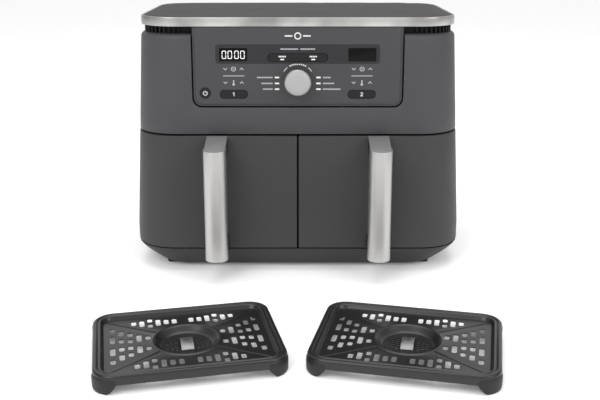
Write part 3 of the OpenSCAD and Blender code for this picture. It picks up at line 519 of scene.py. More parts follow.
def taperedCopy(name, node, body, material):  # an inner wall drawn in where the housing tapers
    piece = newPiece(name, [], [], material)
    piece.data = bpy.data.objects[node].data.copy()
    piece.data.materials.clear()
    piece.data.materials.append(finish[material])
    bendFrom, bendTo = housing["taperFrom"], halfBody - housing["corner"]
    for vertex in piece.data.vertices:
        share = min(1, max(0, (abs(vertex.co.x) - bendFrom) / (bendTo - bendFrom)))
        vertex.co.x -= math.copysign((bodyInsets(vertex.co.z)[0] + housing["innerGap"]) * share, vertex.co.x)
        if vertex.co.y > backY - housing["corner"]:
            vertex.co.y -= housing["innerGap"]
    finishPiece(piece, body, [node])


basePan = {"sideIn": 28 * mm, "frontIn": 20 * mm, "cornerLoss": 10 * mm, "wall": 2.6 * mm, "bulge": 1.25}


def makeBasePan():
    top, bottom = shellLow.z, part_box("base_pan")[0].z

    def panLoop(share, inset, z):
        bend = share ** basePan["bulge"]
        brow = housing["brow"]
        loop = roundedLoop(halfBody - bend * basePan["sideIn"] - inset,
            frontY + brow + bend * (basePan["frontIn"] - brow) + inset,
            backY - bend * basePan["frontIn"] - inset,
            housing["corner"] - bend * basePan["cornerLoss"] - inset, 14)
        return [(x, y, z) for x, y in loop]
    shares = [i / 8 for i in range(9)]
    outer = [panLoop(s, 0, top - s * (top - bottom)) for s in shares]
    inner = [panLoop(s, basePan["wall"], top - s * (top - bottom - basePan["wall"])) for s in reversed(shares)]
    pan = loftLoops("basePan", inner + outer, "baseAbs", capFirst=True, capLast=True)
    finishPiece(pan, "fryer", ["base_pan"], edge=1.2 * mm, angle=40)


lid = {"corner": 50 * mm, "trim": 2.0 * mm, "lip": 0.9 * mm, "sink": 0.5 * mm}


def lidLoop(inset, z, steps=16):
    loop = roundedLoop(trimHigh.x - inset, trimLow.y + inset, trimHigh.y - inset, lid["corner"] - inset, steps)
    return [(x, y, z) for x, y in loop]


def makeLid():
    low, high, trim, lip = trimLow.z, trimHigh.z, lid["trim"], lid["lip"]
    ring = [(trim, low), (lip, low), (0.25 * lip, low + 0.25 * lip), (0, low + lip), (0, high - lip),
        (0.25 * lip, high - 0.25 * lip), (lip, high), (trim - 0.3 * lip, high), (trim, high - 0.3 * lip)]
    band = loftLoops("lidTrim", [lidLoop(inset, z) for inset, z in ring], "brushedSteelAcross", ring=True)
    finishPiece(band, "fryer", ["top_trim"], angle=50)
    sunk = high - lid["sink"]
    profile = [(trim + 14 * mm, low), (trim, low), (trim, sunk - 0.6 * mm), (trim + 0.2 * mm, sunk - 0.15 * mm),
        (trim + 0.8 * mm, sunk), (trim + 20 * mm, sunk), (trim + 46 * mm, sunk)]
    cover = loftLoops("lidCover", [lidLoop(inset, z) for inset, z in profile], "lidAbs",
        capFirst=True, capLast=True)
    finishPiece(cover, "fryer", ["top_cover"], angle=50)


vents = {"pitch": 5.7 * mm, "finWidth": 1.7 * mm, "finDepth": 5 * mm, "backIn": 4 * mm, "corner": 38 * mm,
    "panelClear": 7 * mm}


def addSocket(tree, name, kind, value=None):
    socket = tree.interface.new_socket(name=name, in_out="INPUT", socket_type=kind)
    if value is not None:
        socket.default_value = value
    return socket


def geometryTree(name, sizes):
    tree = bpy.data.node_groups.new(name, "GeometryNodeTree")
    addSocket(tree, "Geometry", "NodeSocketGeometry")
    for label, value in sizes.items():
        addSocket(tree, label, "NodeSocketFloat", value)
    tree.interface.new_socket(name="Geometry", in_out="OUTPUT", socket_type="NodeSocketGeometry")
    return tree, addNode(tree, "NodeGroupInput"), addNode(tree, "NodeGroupOutput")


def runTree(piece, tree, values):
    modifier = piece.modifiers.new(tree.name, "NODES")
    modifier.node_group = tree
    for item in tree.interface.items_tree:
        if item.in_out == "INPUT" and item.name in values:
            modifier[item.identifier] = values[item.name]
    return bakeModifiers(piece)


def finTree():
    tree, start, end = geometryTree("finsOnPath", {"Pitch": 0.0057, "Fin Width": 0.0017, "Fin Depth": 0.005,
        "Fin Height": 0.009})
    path = addNode(tree, "GeometryNodeMeshToCurve", {}, {"Mesh": start.outputs["Geometry"]})
    even = addNode(tree, "GeometryNodeResampleCurve", {}, {"Curve": path.outputs[0],
        "Length": start.outputs["Pitch"]}, mode="LENGTH")
    tangent = addNode(tree, "GeometryNodeInputTangent")
    turn = addNode(tree, "FunctionNodeAlignRotationToVector", {}, {"Vector": tangent.outputs[0]}, axis="X",
        pivot_axis="Z")
    size = addNode(tree, "ShaderNodeCombineXYZ", {}, {"X": start.outputs["Fin Width"],
        "Y": start.outputs["Fin Depth"], "Z": start.outputs["Fin Height"]})
    fin = addNode(tree, "GeometryNodeMeshCube", {}, {"Size": size.outputs[0]})
    placed = addNode(tree, "GeometryNodeInstanceOnPoints", {}, {"Points": even.outputs[0],
        "Instance": fin.outputs["Mesh"], "Rotation": turn.outputs[0]})
    real = addNode(tree, "GeometryNodeRealizeInstances", {}, {"Geometry": placed.outputs[0]})
    dressed = addNode(tree, "GeometryNodeSetMaterial", {"Material": finish["ventAbs"]},
        {"Geometry": real.outputs[0]})
    tree.links.new(dressed.outputs[0], end.inputs["Geometry"])
    return tree


def ventLoop(inset, z, steps=14):
    loop = roundedLoop(ventHigh.x - inset, ventLow.y + inset, ventHigh.y - inset,
        vents["corner"] - inset, steps)
    return [(x, y, z) for x, y in loop]


def makeVents():
    middle = (ventLow.z + ventHigh.z) / 2
    reach = panelHigh.x + vents["panelClear"]
    path = ventLoop(vents["finDepth"] / 2, middle)
    path = [p for p in path if not (abs(p[0]) < reach and p[1] < frontY + 40 * mm)]
    start = [(reach, path[0][1], middle)]
    path = start + path + [(-reach, path[0][1], middle)]
    fins = newPiece("ventFins", path, [], "ventAbs", edges=[(i, i + 1) for i in range(len(path) - 1)])
    runTree(fins, finTree(), {"Pitch": vents["pitch"], "Fin Width": vents["finWidth"],
        "Fin Depth": vents["finDepth"], "Fin Height": ventHigh.z - ventLow.z})
    finishPiece(fins, "fryer")
    back = [(vents["backIn"], ventLow.z), (vents["backIn"], ventHigh.z), (vents["backIn"] + 3 * mm, ventHigh.z),
        (vents["backIn"] + 3 * mm, ventLow.z)]
    wall = loftLoops("ventBack", [ventLoop(inset, z) for inset, z in back], "ventAbs", ring=True)
    finishPiece(wall, "fryer", ["vent_band"])


makeHousing()
makeBasePan()
makeLid()
makeVents()
taperedCopy("motorDeckPlate", "motor_deck", "fryer", "zincSheet")
taperedCopy("drawerBulkheadWall", "drawer_bulkhead", "fryer", "blackAbs")
for side in sides:
    taperedCopy(side + "DrawerBack", side + "_drawer_cover", side + "_drawer", "blackAbs")
print("housing, base, lid, vents and inner walls")


def barTree(material):  # one box on every point, sized and turned by the point's own values
    tree, start, end = geometryTree("barsOnPoints", {"Growth": 1.0})
    size = addNode(tree, "GeometryNodeInputNamedAttribute", {"Name": "size"}, data_type="FLOAT_VECTOR")
    turn = addNode(tree, "GeometryNodeInputNamedAttribute", {"Name": "turn"}, data_type="FLOAT_VECTOR")
    grown = addNode(tree, "ShaderNodeVectorMath", {}, {0: size.outputs[0], "Scale": start.outputs["Growth"]},
        operation="SCALE")
    spin = addNode(tree, "FunctionNodeEulerToRotation", {}, {0: turn.outputs[0]})
    bar = addNode(tree, "GeometryNodeMeshCube")
    placed = addNode(tree, "GeometryNodeInstanceOnPoints", {}, {"Points": start.outputs["Geometry"],
        "Instance": bar.outputs["Mesh"], "Rotation": spin.outputs[0], "Scale": grown.outputs[0]})
    real = addNode(tree, "GeometryNodeRealizeInstances", {}, {"Geometry": placed.outputs[0]})
    dressed = addNode(tree, "GeometryNodeSetMaterial", {"Material": finish[material]},
        {"Geometry": real.outputs[0]})
    tree.links.new(dressed.outputs[0], end.inputs["Geometry"])
    return tree


def barsPiece(name, rows, material, growth=1.0):  # rows of place, size and turn
    piece = newPiece(name, [row[0] for row in rows], [], material)
    for label, column in (("size", 1), ("turn", 2)):
        values = piece.data.attributes.new(label, "FLOAT_VECTOR", "POINT")
        values.data.foreach_set("vector", [v for row in rows for v in row[column]])
    return runTree(piece, barTree(material), {"Growth": growth})


def stroke(bm, path, width, yFront, yBack, closed=False):  # flat line of even width along points in x, z
    points = [Vector(p) for p in path]
    left, right = [], []
    for k, point in enumerate(points):
        before = points[k - 1] if k or closed else None
        after = points[(k + 1) % len(points)] if k < len(points) - 1 or closed else None
        ways = [(b - a).normalized() for a, b in ((before, point), (point, after)) if a and b]
        way = sum(ways, Vector((0, 0))).normalized()
        reach = width / 2 / max(0.4, way.dot(ways[0]))
        normal = Vector((-way.y, way.x)) * reach
        left.append(tuple(point + normal))
        right.append(tuple(point - normal))
    if closed:
        left.append(left[0])
        right.append(right[0])
    prism(bm, left + right[::-1], yFront, yBack)


def arcPath(x, z, radius, first, last, steps=20):
    turns = [math.radians(first + (last - first) * k / steps) for k in range(steps + 1)]
    return [(x + radius * math.cos(t), z + radius * math.sin(t)) for t in turns]


panel = {
    "channel": 2.8 * mm, "channelDepth": 1.3 * mm, "thickness": 3.2 * mm, "corner": 10 * mm,
    "inkProud": 0.06 * mm, "inkSunk": 0.1 * mm, "bandCorner": 4 * mm, "lensCorner": 1.6 * mm,
    "gap": 0.35 * mm,
}


def panelOutline(inset, top):
    half = panelHigh.x - housing["panelLap"] - inset
    bottom = panelLow.z + housing["panelFoot"] + inset
    radius = panel["corner"] - inset * 0.8
    points = [(half, top)]
    for step in range(11):
        turn = math.radians(-90 * step / 10)
        points.append((half - radius + radius * math.cos(turn), bottom + radius + radius * math.sin(turn)))
    return points + [(-x, z) for x, z in reversed(points)]


def makePanel():
    front, channel, depth = panelLow.y, panel["channel"], panel["channelDepth"]
    rear = front + panel["thickness"]
    profile = [(channel + 0.9 * mm, front), (channel + 0.25 * mm, front + 0.12 * mm),
        (channel, front + 0.4 * mm), (channel - 0.3 * mm, front + depth),
        (0.3 * mm, front + depth + 0.15 * mm), (0, front + depth + 0.5 * mm), (0, rear)]
    loops = [[(x, y, z) for x, z in panelOutline(inset, panelHigh.z)] for inset, y in profile]
    face = loftLoops("controlPanelSkin", loops, "panelAbs", capFirst=True, capLast=True)
    holes = []
    for side, sign in sides.items():
        low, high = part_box(side + "_display")
        holes.append(uprightPrism("hole", (low.x + high.x) / 2, (low.z + high.z) / 2, high.x - low.x,
            high.z - low.z, panel["lensCorner"], front - 0.01, rear + 0.01))
        low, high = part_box(side + "_zone_button")
        lip = 2 * mm
        holes.append(uprightPrism("hole", (low.x + high.x) / 2, (low.z + high.z) / 2,
            high.x - low.x - 2 * lip + 2 * panel["gap"], high.z - low.z - 2 * lip + 2 * panel["gap"],
            (high.z - low.z) / 2 - lip, front - 0.01, rear + 0.01))
    low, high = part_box("power_button")
    radius = (high.x - low.x) / 2 - 2 * mm + panel["gap"]
    holes.append(uprightPrism("hole", (low.x + high.x) / 2, (low.z + high.z) / 2, 2 * radius, 2 * radius,
        radius - 0.01 * mm, front - 0.01, rear + 0.01, steps=10))
    keyLow, keyHigh = keyBox()
    keyHole = uprightPrism("hole", 0, (keyLow + keyHigh) / 2, keys["width"] + 2 * panel["gap"],
        keyHigh - keyLow + 2 * panel["gap"], (keyHigh - keyLow) / 2, front - 0.01, rear + 0.01)
    holes.append(keyHole)
    cutAway(face, holes)
    finishPiece(face, "fryer", ["control_panel"], angle=24)
    low, high = bandLow, bandHigh
    film = uprightPrism("displayBandFilm", 0, (low.z + high.z) / 2, high.x - low.x, high.z - low.z,
        panel["bandCorner"], low.y, low.y + 0.5 * mm, "printedFilm")
    cutters = []
    for side in sides:
        lensLow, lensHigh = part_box(side + "_display")
        cutters.append(uprightPrism("hole", (lensLow.x + lensHigh.x) / 2, (lensLow.z + lensHigh.z) / 2,
            lensHigh.x - lensLow.x, lensHigh.z - lensLow.z, panel["lensCorner"], low.y - 0.01, low.y + 0.01))
    cutters.append(uprightPrism("hole", 0, (keyLow + keyHigh) / 2, keys["width"] + 2 * panel["gap"],
        keyHigh - keyLow + 2 * panel["gap"], (keyHigh - keyLow) / 2, low.y - 0.01, low.y + 0.01))
    cutAway(film, cutters)
    finishPiece(film, "fryer", ["display_band"], edge=0.12 * mm, steps=2)
    for side in sides:
        low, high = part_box(side + "_display")
        inset = 0.1 * mm
        lens = uprightPrism(side + "DisplayLens", (low.x + high.x) / 2, (low.z + high.z) / 2,
            high.x - low.x - 2 * inset, high.z - low.z - 2 * inset, panel["lensCorner"] - inset, low.y, high.y,
            "smokedAcrylic")
        finishPiece(lens, "fryer", [side + "_display"], edge=0.2 * mm, steps=2)


keys = {"height": 9.7 * mm, "width": 72 * mm, "middleZ": dialZ + 28.15 * mm, "edge": 0.45 * mm}


def keyBox():
    return keys["middleZ"] - keys["height"] / 2, keys["middleZ"] + keys["height"] / 2


ink = {
    "digitPitch": 7.1 * mm, "digitWidth": 4.4 * mm, "digitHeight": 9.0 * mm, "digitStroke": 0.7 * mm,
    "digitGap": 0.45 * mm, "middleGap": 0.9 * mm, "chevronX": 9.9 * mm,
    "timeZ": dialZ + 14.4 * mm, "heatZ": dialZ - 2.2 * mm, "dividerZ": dialZ + 6.0 * mm,
    "dividerWidth": 25.5 * mm, "markerX": 25.0 * mm, "markerWidth": 5.2 * mm,
    "markerHeight": 1.9 * mm, "wordX": 30.3 * mm, "wordHeight": 1.7 * mm, "letter": 1.35 * mm,
    "letterGap": 0.5 * mm, "arcRadius": 20.3 * mm, "lampX": 18.6 * mm, "badgeZ": dialZ + 54.1 * mm,
    "labelZ": dialZ + 38.4 * mm,
}
functionRows = [(4.1 * mm, 19.0 * mm, 9.5 * mm), (-3.1 * mm, 13.8 * mm, 13.8 * mm),
    (-10.1 * mm, 12.0 * mm, 21.5 * mm)]  # height over the dial centre, word lengths left and right


def blocksBetween(x0, x1, y, z, height):  # plain blocks stand in for a printed word
    step = ink["letter"] + ink["letterGap"]
    count = max(1, round((x1 - x0) / step))
    pitch = (x1 - x0) / count
    size = (pitch - ink["letterGap"], panel["inkSunk"] + panel["inkProud"], height)
    return [((x0 + pitch * (k + 0.5), y, z), size, (0, 0, 0)) for k in range(count)]


def inkPiece(name, bm, material, body):
    piece = meshPiece(name, bm, material)
    tidyNormals(piece, weld=0.000001)
    rideWithSlot(piece, body)


def makeMarks():
    yFront, yBack = panelLow.y - panel["inkProud"], panelLow.y + panel["inkSunk"]
    middle = (yFront + yBack) / 2
    bright, soft = [], []
    for up, leftLength, rightLength in functionRows:
        z = dialZ + up
        for sign, length in ((-1, leftLength), (1, rightLength)):
            bright.append(((sign * ink["markerX"], middle, z), (ink["markerWidth"],
                panel["inkSunk"] + panel["inkProud"], ink["markerHeight"]), (0, 0, 0)))
            ends = sorted((sign * ink["wordX"], sign * (ink["wordX"] + length)))
            soft += blocksBetween(ends[0], ends[1], middle, z, ink["wordHeight"])
    for k in range(9):  # curved word over the dial
        turn = math.radians(117 - 54 * k / 8)
        place = (ink["arcRadius"] * math.cos(turn), middle, dialZ + ink["arcRadius"] * math.sin(turn))
        bright.append((place, (ink["letter"], panel["inkSunk"] + panel["inkProud"], ink["wordHeight"]),
            (0, math.pi / 2 - turn, 0)))
    bm = bmesh.new()
    for first in (128, 34):
        stroke(bm, arcPath(0, dialZ, ink["arcRadius"], first, first + 18), 0.8 * mm, yFront, yBack)
    badge = ink["badgeZ"]
    stroke(bm, arcPath(0, badge, 3.6 * mm, 0, 350, 36), 1.5 * mm, yFront, yBack)
    for sign in (-1, 1):
        stroke(bm, [(sign * 6.4 * mm, badge), (sign * 15.5 * mm, badge)], 1.7 * mm, yFront, yBack)
    inkPiece("panelBadgeAndArcs", bm, "whiteInk", "fryer")
    bm = bmesh.new()
    for side, sign in sides.items():
        low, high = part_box(side + "_display")
        x = (low.x + high.x) / 2
        for z in (ink["timeZ"], ink["heatZ"]):
            for direction, rise in ((-1, -1), (1, 1)):
                centre = x + direction * ink["chevronX"]
                stroke(bm, [(centre - 2.2 * mm, z - rise * 1.1 * mm), (centre, z + rise * 1.1 * mm),
                    (centre + 2.2 * mm, z - rise * 1.1 * mm)], 0.85 * mm, yFront, yBack)
        stroke(bm, arcPath(x, ink["timeZ"], 2.5 * mm, 100, 440, 30), 0.8 * mm, yFront, yBack)
        stroke(bm, [(x - 1.2 * mm, ink["timeZ"] + 1.1 * mm), (x, ink["timeZ"]), (x + 1.3 * mm,
            ink["timeZ"] - 0.5 * mm)], 0.7 * mm, yFront, yBack)
        stroke(bm, [(x, ink["heatZ"] - 1.2 * mm), (x, ink["heatZ"] + 3.1 * mm)], 1.3 * mm, yFront, yBack)
        stroke(bm, arcPath(x, ink["heatZ"] - 2.1 * mm, 0.8 * mm, 0, 350, 16), 1.5 * mm, yFront, yBack)
        stroke(bm, [(x - ink["dividerWidth"] / 2, ink["dividerZ"]), (x + ink["dividerWidth"] / 2,
            ink["dividerZ"])], 0.85 * mm, yFront, yBack)
    inkPiece("panelIcons", bm, "greyInk", "fryer")
    filmY = bandLow.y - panel["inkProud"] + 0.08 * mm
    soft += blocksBetween(-20.8 * mm, 0.5 * mm, filmY, ink["labelZ"], ink["wordHeight"])
    soft += blocksBetween(3 * mm, 20.8 * mm, filmY, ink["labelZ"], ink["wordHeight"])
    rideWithSlot(barsPiece("panelLampBars", bright, "lampInk"), "fryer")
    rideWithSlot(barsPiece("panelWordBlocks", soft, "greyInk"), "fryer")
    low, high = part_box("left_display")
    bm = bmesh.new()
    middleX, middleZ = (low.x + high.x) / 2, (low.z + high.z) / 2
    for place in (-1.5, -0.5, 0.5, 1.5):
        x = middleX + place * ink["digitPitch"] + math.copysign(ink["middleGap"] / 2, place)
        halfW, halfH, bend = ink["digitWidth"] / 2, ink["digitHeight"] / 2, 1.1 * mm
        for sign in (-1, 1):
            path = [(x - halfW, middleZ + sign * ink["digitGap"])]
            path += [(x - halfW + bend - bend * math.cos(t),
                middleZ + sign * (halfH - bend + bend * math.sin(t)))
                for t in (0, math.pi / 6, math.pi / 3, math.pi / 2)]
            path += [(2 * x - px, pz) for px, pz in reversed(path)]
            stroke(bm, path, ink["digitStroke"], low.y - panel["inkProud"], low.y + panel["inkSunk"])
    inkPiece("litDigits", bm, "litSegment", "fryer")


def makeKeys():
    for side, sign in sides.items():
        low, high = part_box(side + "_zone_button")
        lip = 2 * mm
        x, z = (low.x + high.x) / 2, (low.z + high.z) / 2
        width, height = high.x - low.x - 2 * lip, high.z - low.z - 2 * lip
        cap = uprightPrism(side + "ZoneKey", x, z, width, height, height / 2 - 0.01 * mm, low.y,
            high.y, "keyAbs", 10)
        finishPiece(cap, side + "_zone_key", [side + "_zone_button"], edge=keys["edge"])
        bm = bmesh.new()
        if side == "left":
            path = [(x - 1.1 * mm, z + 1.1 * mm), (x + 0.2 * mm, z + 2.0 * mm), (x + 0.2 * mm, z - 2.2 * mm)]
        else:
            path = arcPath(x, z + 0.9 * mm, 1.2 * mm, 170, -30, 10) + [(x - 1.3 * mm, z - 1.9 * mm),
                (x + 1.5 * mm, z - 1.9 * mm)]
        stroke(bm, path, 0.85 * mm, low.y - panel["inkProud"], low.y + panel["inkSunk"])
        inkPiece(side + "ZoneNumeral", bm, "whiteInk", side + "_zone_key")
    low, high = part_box("power_button")
    x, z, radius = (low.x + high.x) / 2, (low.z + high.z) / 2, (high.x - low.x) / 2 - 2 * mm
    cap = uprightPrism("powerKeyCap", x, z, 2 * radius, 2 * radius, radius - 0.01 * mm, low.y, high.y,
        "keyAbs", 12)
    finishPiece(cap, "power_key", ["power_button"], edge=keys["edge"])
    bm = bmesh.new()
    stroke(bm, arcPath(x, z - 0.2 * mm, 2.4 * mm, 125, 415, 30), 0.85 * mm, low.y - panel["inkProud"],
        low.y + panel["inkSunk"])
    stroke(bm, [(x, z + 0.4 * mm), (x, z + 2.8 * mm)], 0.85 * mm, low.y - panel["inkProud"],
        low.y + panel["inkSunk"])
    inkPiece("powerSymbol", bm, "whiteInk", "power_key")
    low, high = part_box("mode_key")
    cap = uprightPrism("modeKeyCap", 0, keys["middleZ"], keys["width"], keys["height"],
        keys["height"] / 2 - 0.01 * mm, low.y, low.y + 5 * mm, "keyAbs", 10)
    finishPiece(cap, "mode_rocker", ["mode_key"], edge=keys["edge"])
    y = low.y - panel["inkProud"] + 0.08 * mm
    rows = []
    for sign in (-1, 1):
        middle = sign * ink["lampX"]
        rows += blocksBetween(middle - 4.6 * mm, middle + 4.6 * mm, y,
            keys["middleZ"] + 1.3 * mm, ink["wordHeight"])
        rows.append(((middle, y, keys["middleZ"] - 2.2 * mm), (4.6 * mm, 0.16 * mm, 1.5 * mm), (0, 0, 0)))
    rideWithSlot(barsPiece("modeKeyMarks", rows, "lampInk"), "mode_rocker")


dial = {"notches": 30, "notchDepth": 1.0 * mm, "chamfer": 0.7 * mm, "dish": 0.35 * mm, "pointsPerNotch": 8}


def makeDial():
    low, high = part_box("dial_knob")
    faceLow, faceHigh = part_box("dial_face")
    centreX, centreZ = (low.x + high.x) / 2, (low.z + high.z) / 2
    outer, faceR = (high.x - low.x) / 2, (faceHigh.x - faceLow.x) / 2
    count = dial["notches"] * dial["pointsPerNotch"]

    def ring(radius, y, notch):
        points = []
        for k in range(count):
            turn = 2 * math.pi * k / count
            cut = notch * dial["notchDepth"] * max(0, math.cos(turn * dial["notches"])) ** 3
            points.append((centreX + (radius - cut) * math.cos(turn), y,
                centreZ + (radius - cut) * math.sin(turn)))
        return points
    chamfer = dial["chamfer"]
    knob = loftLoops("dialKnob", [ring(faceR - 0.2 * mm, low.y, 0), ring(outer - chamfer, low.y, 0.3),
        ring(outer - 0.3 * chamfer, low.y + 0.3 * chamfer, 0.8), ring(outer, low.y + chamfer, 1),
        ring(outer, high.y - chamfer, 1), ring(outer - chamfer, high.y, 0.6)], "gripAluminium",
        capFirst=True, capLast=True)
    finishPiece(knob, "dial", ["dial_knob"], angle=40)
    dish = dial["dish"]
    face = loftLoops("dialFace", [ring(1 * mm, faceLow.y + dish, 0), ring(faceR * 0.6, faceLow.y + dish, 0),
        ring(faceR - 2.2 * mm, faceLow.y + dish, 0), ring(faceR - 1.3 * mm, faceLow.y + 0.05 * mm, 0),
        ring(faceR - 0.6 * mm, faceLow.y, 0), ring(faceR, faceLow.y + 0.6 * mm, 0), ring(faceR, faceHigh.y, 0)],
        "dialAluminium", capFirst=True, capLast=True)
    finishPiece(face, "dial", ["dial_face"], angle=30)


makePanel()
makeMarks()
makeKeys()
makeDial()
print("control panel, marks, keys and dial")


drawer = {"wall": 2.6 * mm, "edge": 1.3 * mm, "edgeSteps": 4}
handle = {"nose": 12 * mm, "facing": 1.2 * mm, "capDrop": 10.2 * mm,
    "capThickness": 2.6 * mm,
    "capIn": 1.3 * mm, "capSink": 0.25 * mm, "edge": 0.35 * mm, "overTop": 0.5 * mm}


def flipped(piece, side):
    if side == "left":
        piece.data.transform(Matrix.Diagonal((-1, 1, 1, 1)))
    return piece


def makeDrawers():
    depth = drawerHigh.y - frontY
    heights = [drawerLow.z, housing["draftFrom"], 80 * mm, 110 * mm, 140 * mm, drawerHigh.z]
    for side in sides:
        # the drawer skins take the darker ABS, which is painted shade
        outer = loftLoops(side + "DrawerSkin", [frontFlat(z, 0, depth) for z in heights],
            "drawerAbsPaintedShade", capFirst=True, capLast=True)
        wall = drawer["wall"]
        inside = [drawerLow.z + wall, *heights[1:-1], drawerHigh.z - wall]
        hollow = loftLoops("hollow", [frontFlat(z, wall, depth + 5 * mm) for z in inside], "housingAbs",
            capFirst=True, capLast=True)
        cutAway(outer, [hollow])
        flipped(outer, side)
        finishPiece(outer, side + "_drawer", [side + "_drawer_front"], edge=drawer["edge"],
            steps=drawer["edgeSteps"], angle=30)


def frontFlat(z, inset, depth):  # the housing's outline without the brow, on the right of the split
    side = bodyInsets(z)[0]
    half, radius, steps = halfBody - side - inset, housing["corner"] - inset, 18
    points = [(drawerLow.x + inset, frontY + depth, z), (drawerLow.x + inset, frontY + inset, z)]
    for step in range(steps + 1):
        turn = math.radians(-90 + 90 * step / steps)
        points.append((half - radius + radius * math.cos(turn), frontY + housing["corner"]
            + radius * math.sin(turn), z))
    return points + [(half, frontY + depth, z)] if depth > housing["corner"] + 0.1 * mm else points


def handlePlan(inset, backY, steps=12):
    low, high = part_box("right_handle_facing")
    half, middle, front = (high.x - low.x) / 2 - inset, (high.x + low.x) / 2, low.y + inset
    radius = handle["nose"] - inset
    points = [(middle + half, backY)]
    for step in range(steps + 1):
        turn = math.radians(90 * step / steps)
        points.append((middle + half - radius + radius * math.cos(turn),
            front + radius - radius * math.sin(turn)))
    return points + [(2 * middle - x, y) for x, y in reversed(points)]


def makeHandles():
    low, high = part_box("right_handle_facing")
    reach = frontY - low.y
    capTop = drawerHigh.z + handle["overTop"]

    def slopeZ(y, down):
        return capTop - down + (y - frontY) * handle["capDrop"] / reach
    for side in sides:
        outer, inner = handlePlan(0, high.y), handlePlan(handle["facing"], high.y)
        levels = []
        for share in (0, 0.2, 0.5, 0.8, 1):
            levels.append([[(x, y, low.z + share * (slopeZ(y, handle["capSink"]) - low.z)) for x, y in path]
                for path in (outer, inner)])
        facing = wallStrip(side + "HandleFacing", levels, "brushedSteelUpright")
        flipped(facing, side)
        finishPiece(facing, side + "_drawer", [side + "_handle_facing"], edge=handle["edge"], steps=3, angle=40)
        plan = handlePlan(handle["capIn"], frontY - 0.1 * mm)
        round_ = 0.5 * mm
        tight = handlePlan(handle["capIn"] + round_, frontY - 0.1 * mm - round_)
        cap = loftLoops(side + "HandleCap", [[(x, y, slopeZ(y, handle["capThickness"])) for x, y in plan],
            [(x, y, slopeZ(y, round_)) for x, y in plan],
            [(x + (a - x) * 0.4, y + (b - y) * 0.4, slopeZ(y, round_ * 0.3))
                for (x, y), (a, b) in zip(plan, tight)],
            [(x, y, slopeZ(y, 0)) for x, y in tight]], "satinPaint", capFirst=True, capLast=True)
        flipped(cap, side)
        finishPiece(cap, side + "_drawer", [side + "_handle_cap"], angle=50)


makeDrawers()
makeHandles()
print("drawer fronts and handles")


plate = {
    "length": 188 * mm, "width": 146 * mm, "corner": 22 * mm, "turn": 12.5,
    "floor": 14.6 * mm, "sheet": 0.9 * mm, "wellFloor": 8.8 * mm, "holeWidth": 5.2 * mm, "holeGrowth": 3.4 * mm,
    "holeEdge": 1.7 * mm, "ribWidth": 2.4 * mm, "ribHeight": 1.1 * mm, "strapWidth": 13 * mm,
    "strapLength": 28 * mm,
    "strapRise": 5.0 * mm, "ovalLength": 3.6 * mm, "ovalWidth": 2.2 * mm,
}
# edge profile from the skirt's foot over the double ridge to the floor: inset from the outside, height
plateEdge = [(0, 9.5), (0, 16.4), (0.4, 17.7), (1.3, 18.6), (2.6, 19.0), (4.0, 18.8), (5.0, 18.2), (5.9, 18.0),
    (6.8, 18.4), (7.9, 18.7), (9.0, 18.3), (9.8, 17.2), (10.4, 15.6), (11.2, 14.8), (12.4, 14.6)]
# well profile from the floor over its lip to the dish: radius, height
plateWell = [(37.5, 14.6), (36.4, 14.9), (35.2, 15.6), (34.0, 15.8), (32.8, 15.4), (31.2, 13.9), (28.4, 10.8),
    (26.4, 9.4), (24.6, 8.85), (23, 8.8), (1.5, 8.8)]


def plateLoop(inset, steps=10, longRuns=14, shortRuns=9):
    halfX, halfY, radius = plate["length"] / 2, plate["width"] / 2, plate["corner"] - inset
    innerX, innerY = halfX - plate["corner"], halfY - plate["corner"]
    corners, points = [(1, -1, -90), (1, 1, 0), (-1, 1, 90), (-1, -1, 180)], []
    for sx, sy, start in corners:
        arc = []
        for step in range(steps + 1):
            turn = math.radians(start + 90 * step / steps)
            arc.append((sx * innerX + radius * math.cos(turn), sy * innerY + radius * math.sin(turn)))
        points.append(arc)
    loop = []
    for k, arc in enumerate(points):
        loop += arc
        runs = shortRuns if k % 2 == 0 else longRuns
        (ax, ay), (bx, by) = arc[-1], points[(k + 1) % 4][0]
        loop += [(ax + (bx - ax) * i / runs, ay + (by - ay) * i / runs) for i in range(1, runs)]
    return loop


def plateHoles():
    places = []
    for k in range(5):
        x = 38.5 + 8.9 * k
        places.append((x, [12, 12.5, 7.5, 9, 13.5][k], [5.4, 13, 5.4, 6, 13][k]))
        if k > 1:
            places.append((x, [22.5, 27, 35][k - 2], [5.4, 9, 6.5][k - 2]))
    for k in (0, 1, 2, 4, 5):
        places.append((9 + 8.5 * k, 46.5 + (2 if k == 5 else 0), [9, 9, 13, 0, 12, 6.5][k]))
    places += [(34.5, 39.5, 5.4), (34.5, 53, 5.4)]
    rows = []
    for x, y, length in places:
        for sx in (-1, 1):
            for sy in (-1, 1):
                rows.append(((sx * x * mm, sy * y * mm, plate["floor"]), (plate["holeWidth"], length * mm
                    + plate["holeGrowth"], 12 * mm), (0, 0, 0)))
    return rows


def wellSlots():
    rows = []
    for column, x in enumerate((10.6, 15.0, 19.4)):
        for row in range(5 - column):
            y = (row - (4 - column) / 2) * 5.0
            for sign in (-1, 1):
                rows.append(((sign * x * mm, y * mm, plate["wellFloor"]),
                    (plate["ovalLength"], plate["ovalWidth"], 8 * mm), (0, 0, -sign * math.radians(2 * y))))
    return rows


def platePlace(side):
    low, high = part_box("right_crisper_plate")
    middle = (low + high) / 2
    place = Matrix.Translation((middle.x, middle.y, worktopZ)) @ Matrix.Rotation(
        -math.radians(plate["turn"]), 4, "Z")
    return Matrix.Diagonal((-1, 1, 1, 1)) @ place if side == "left" else place


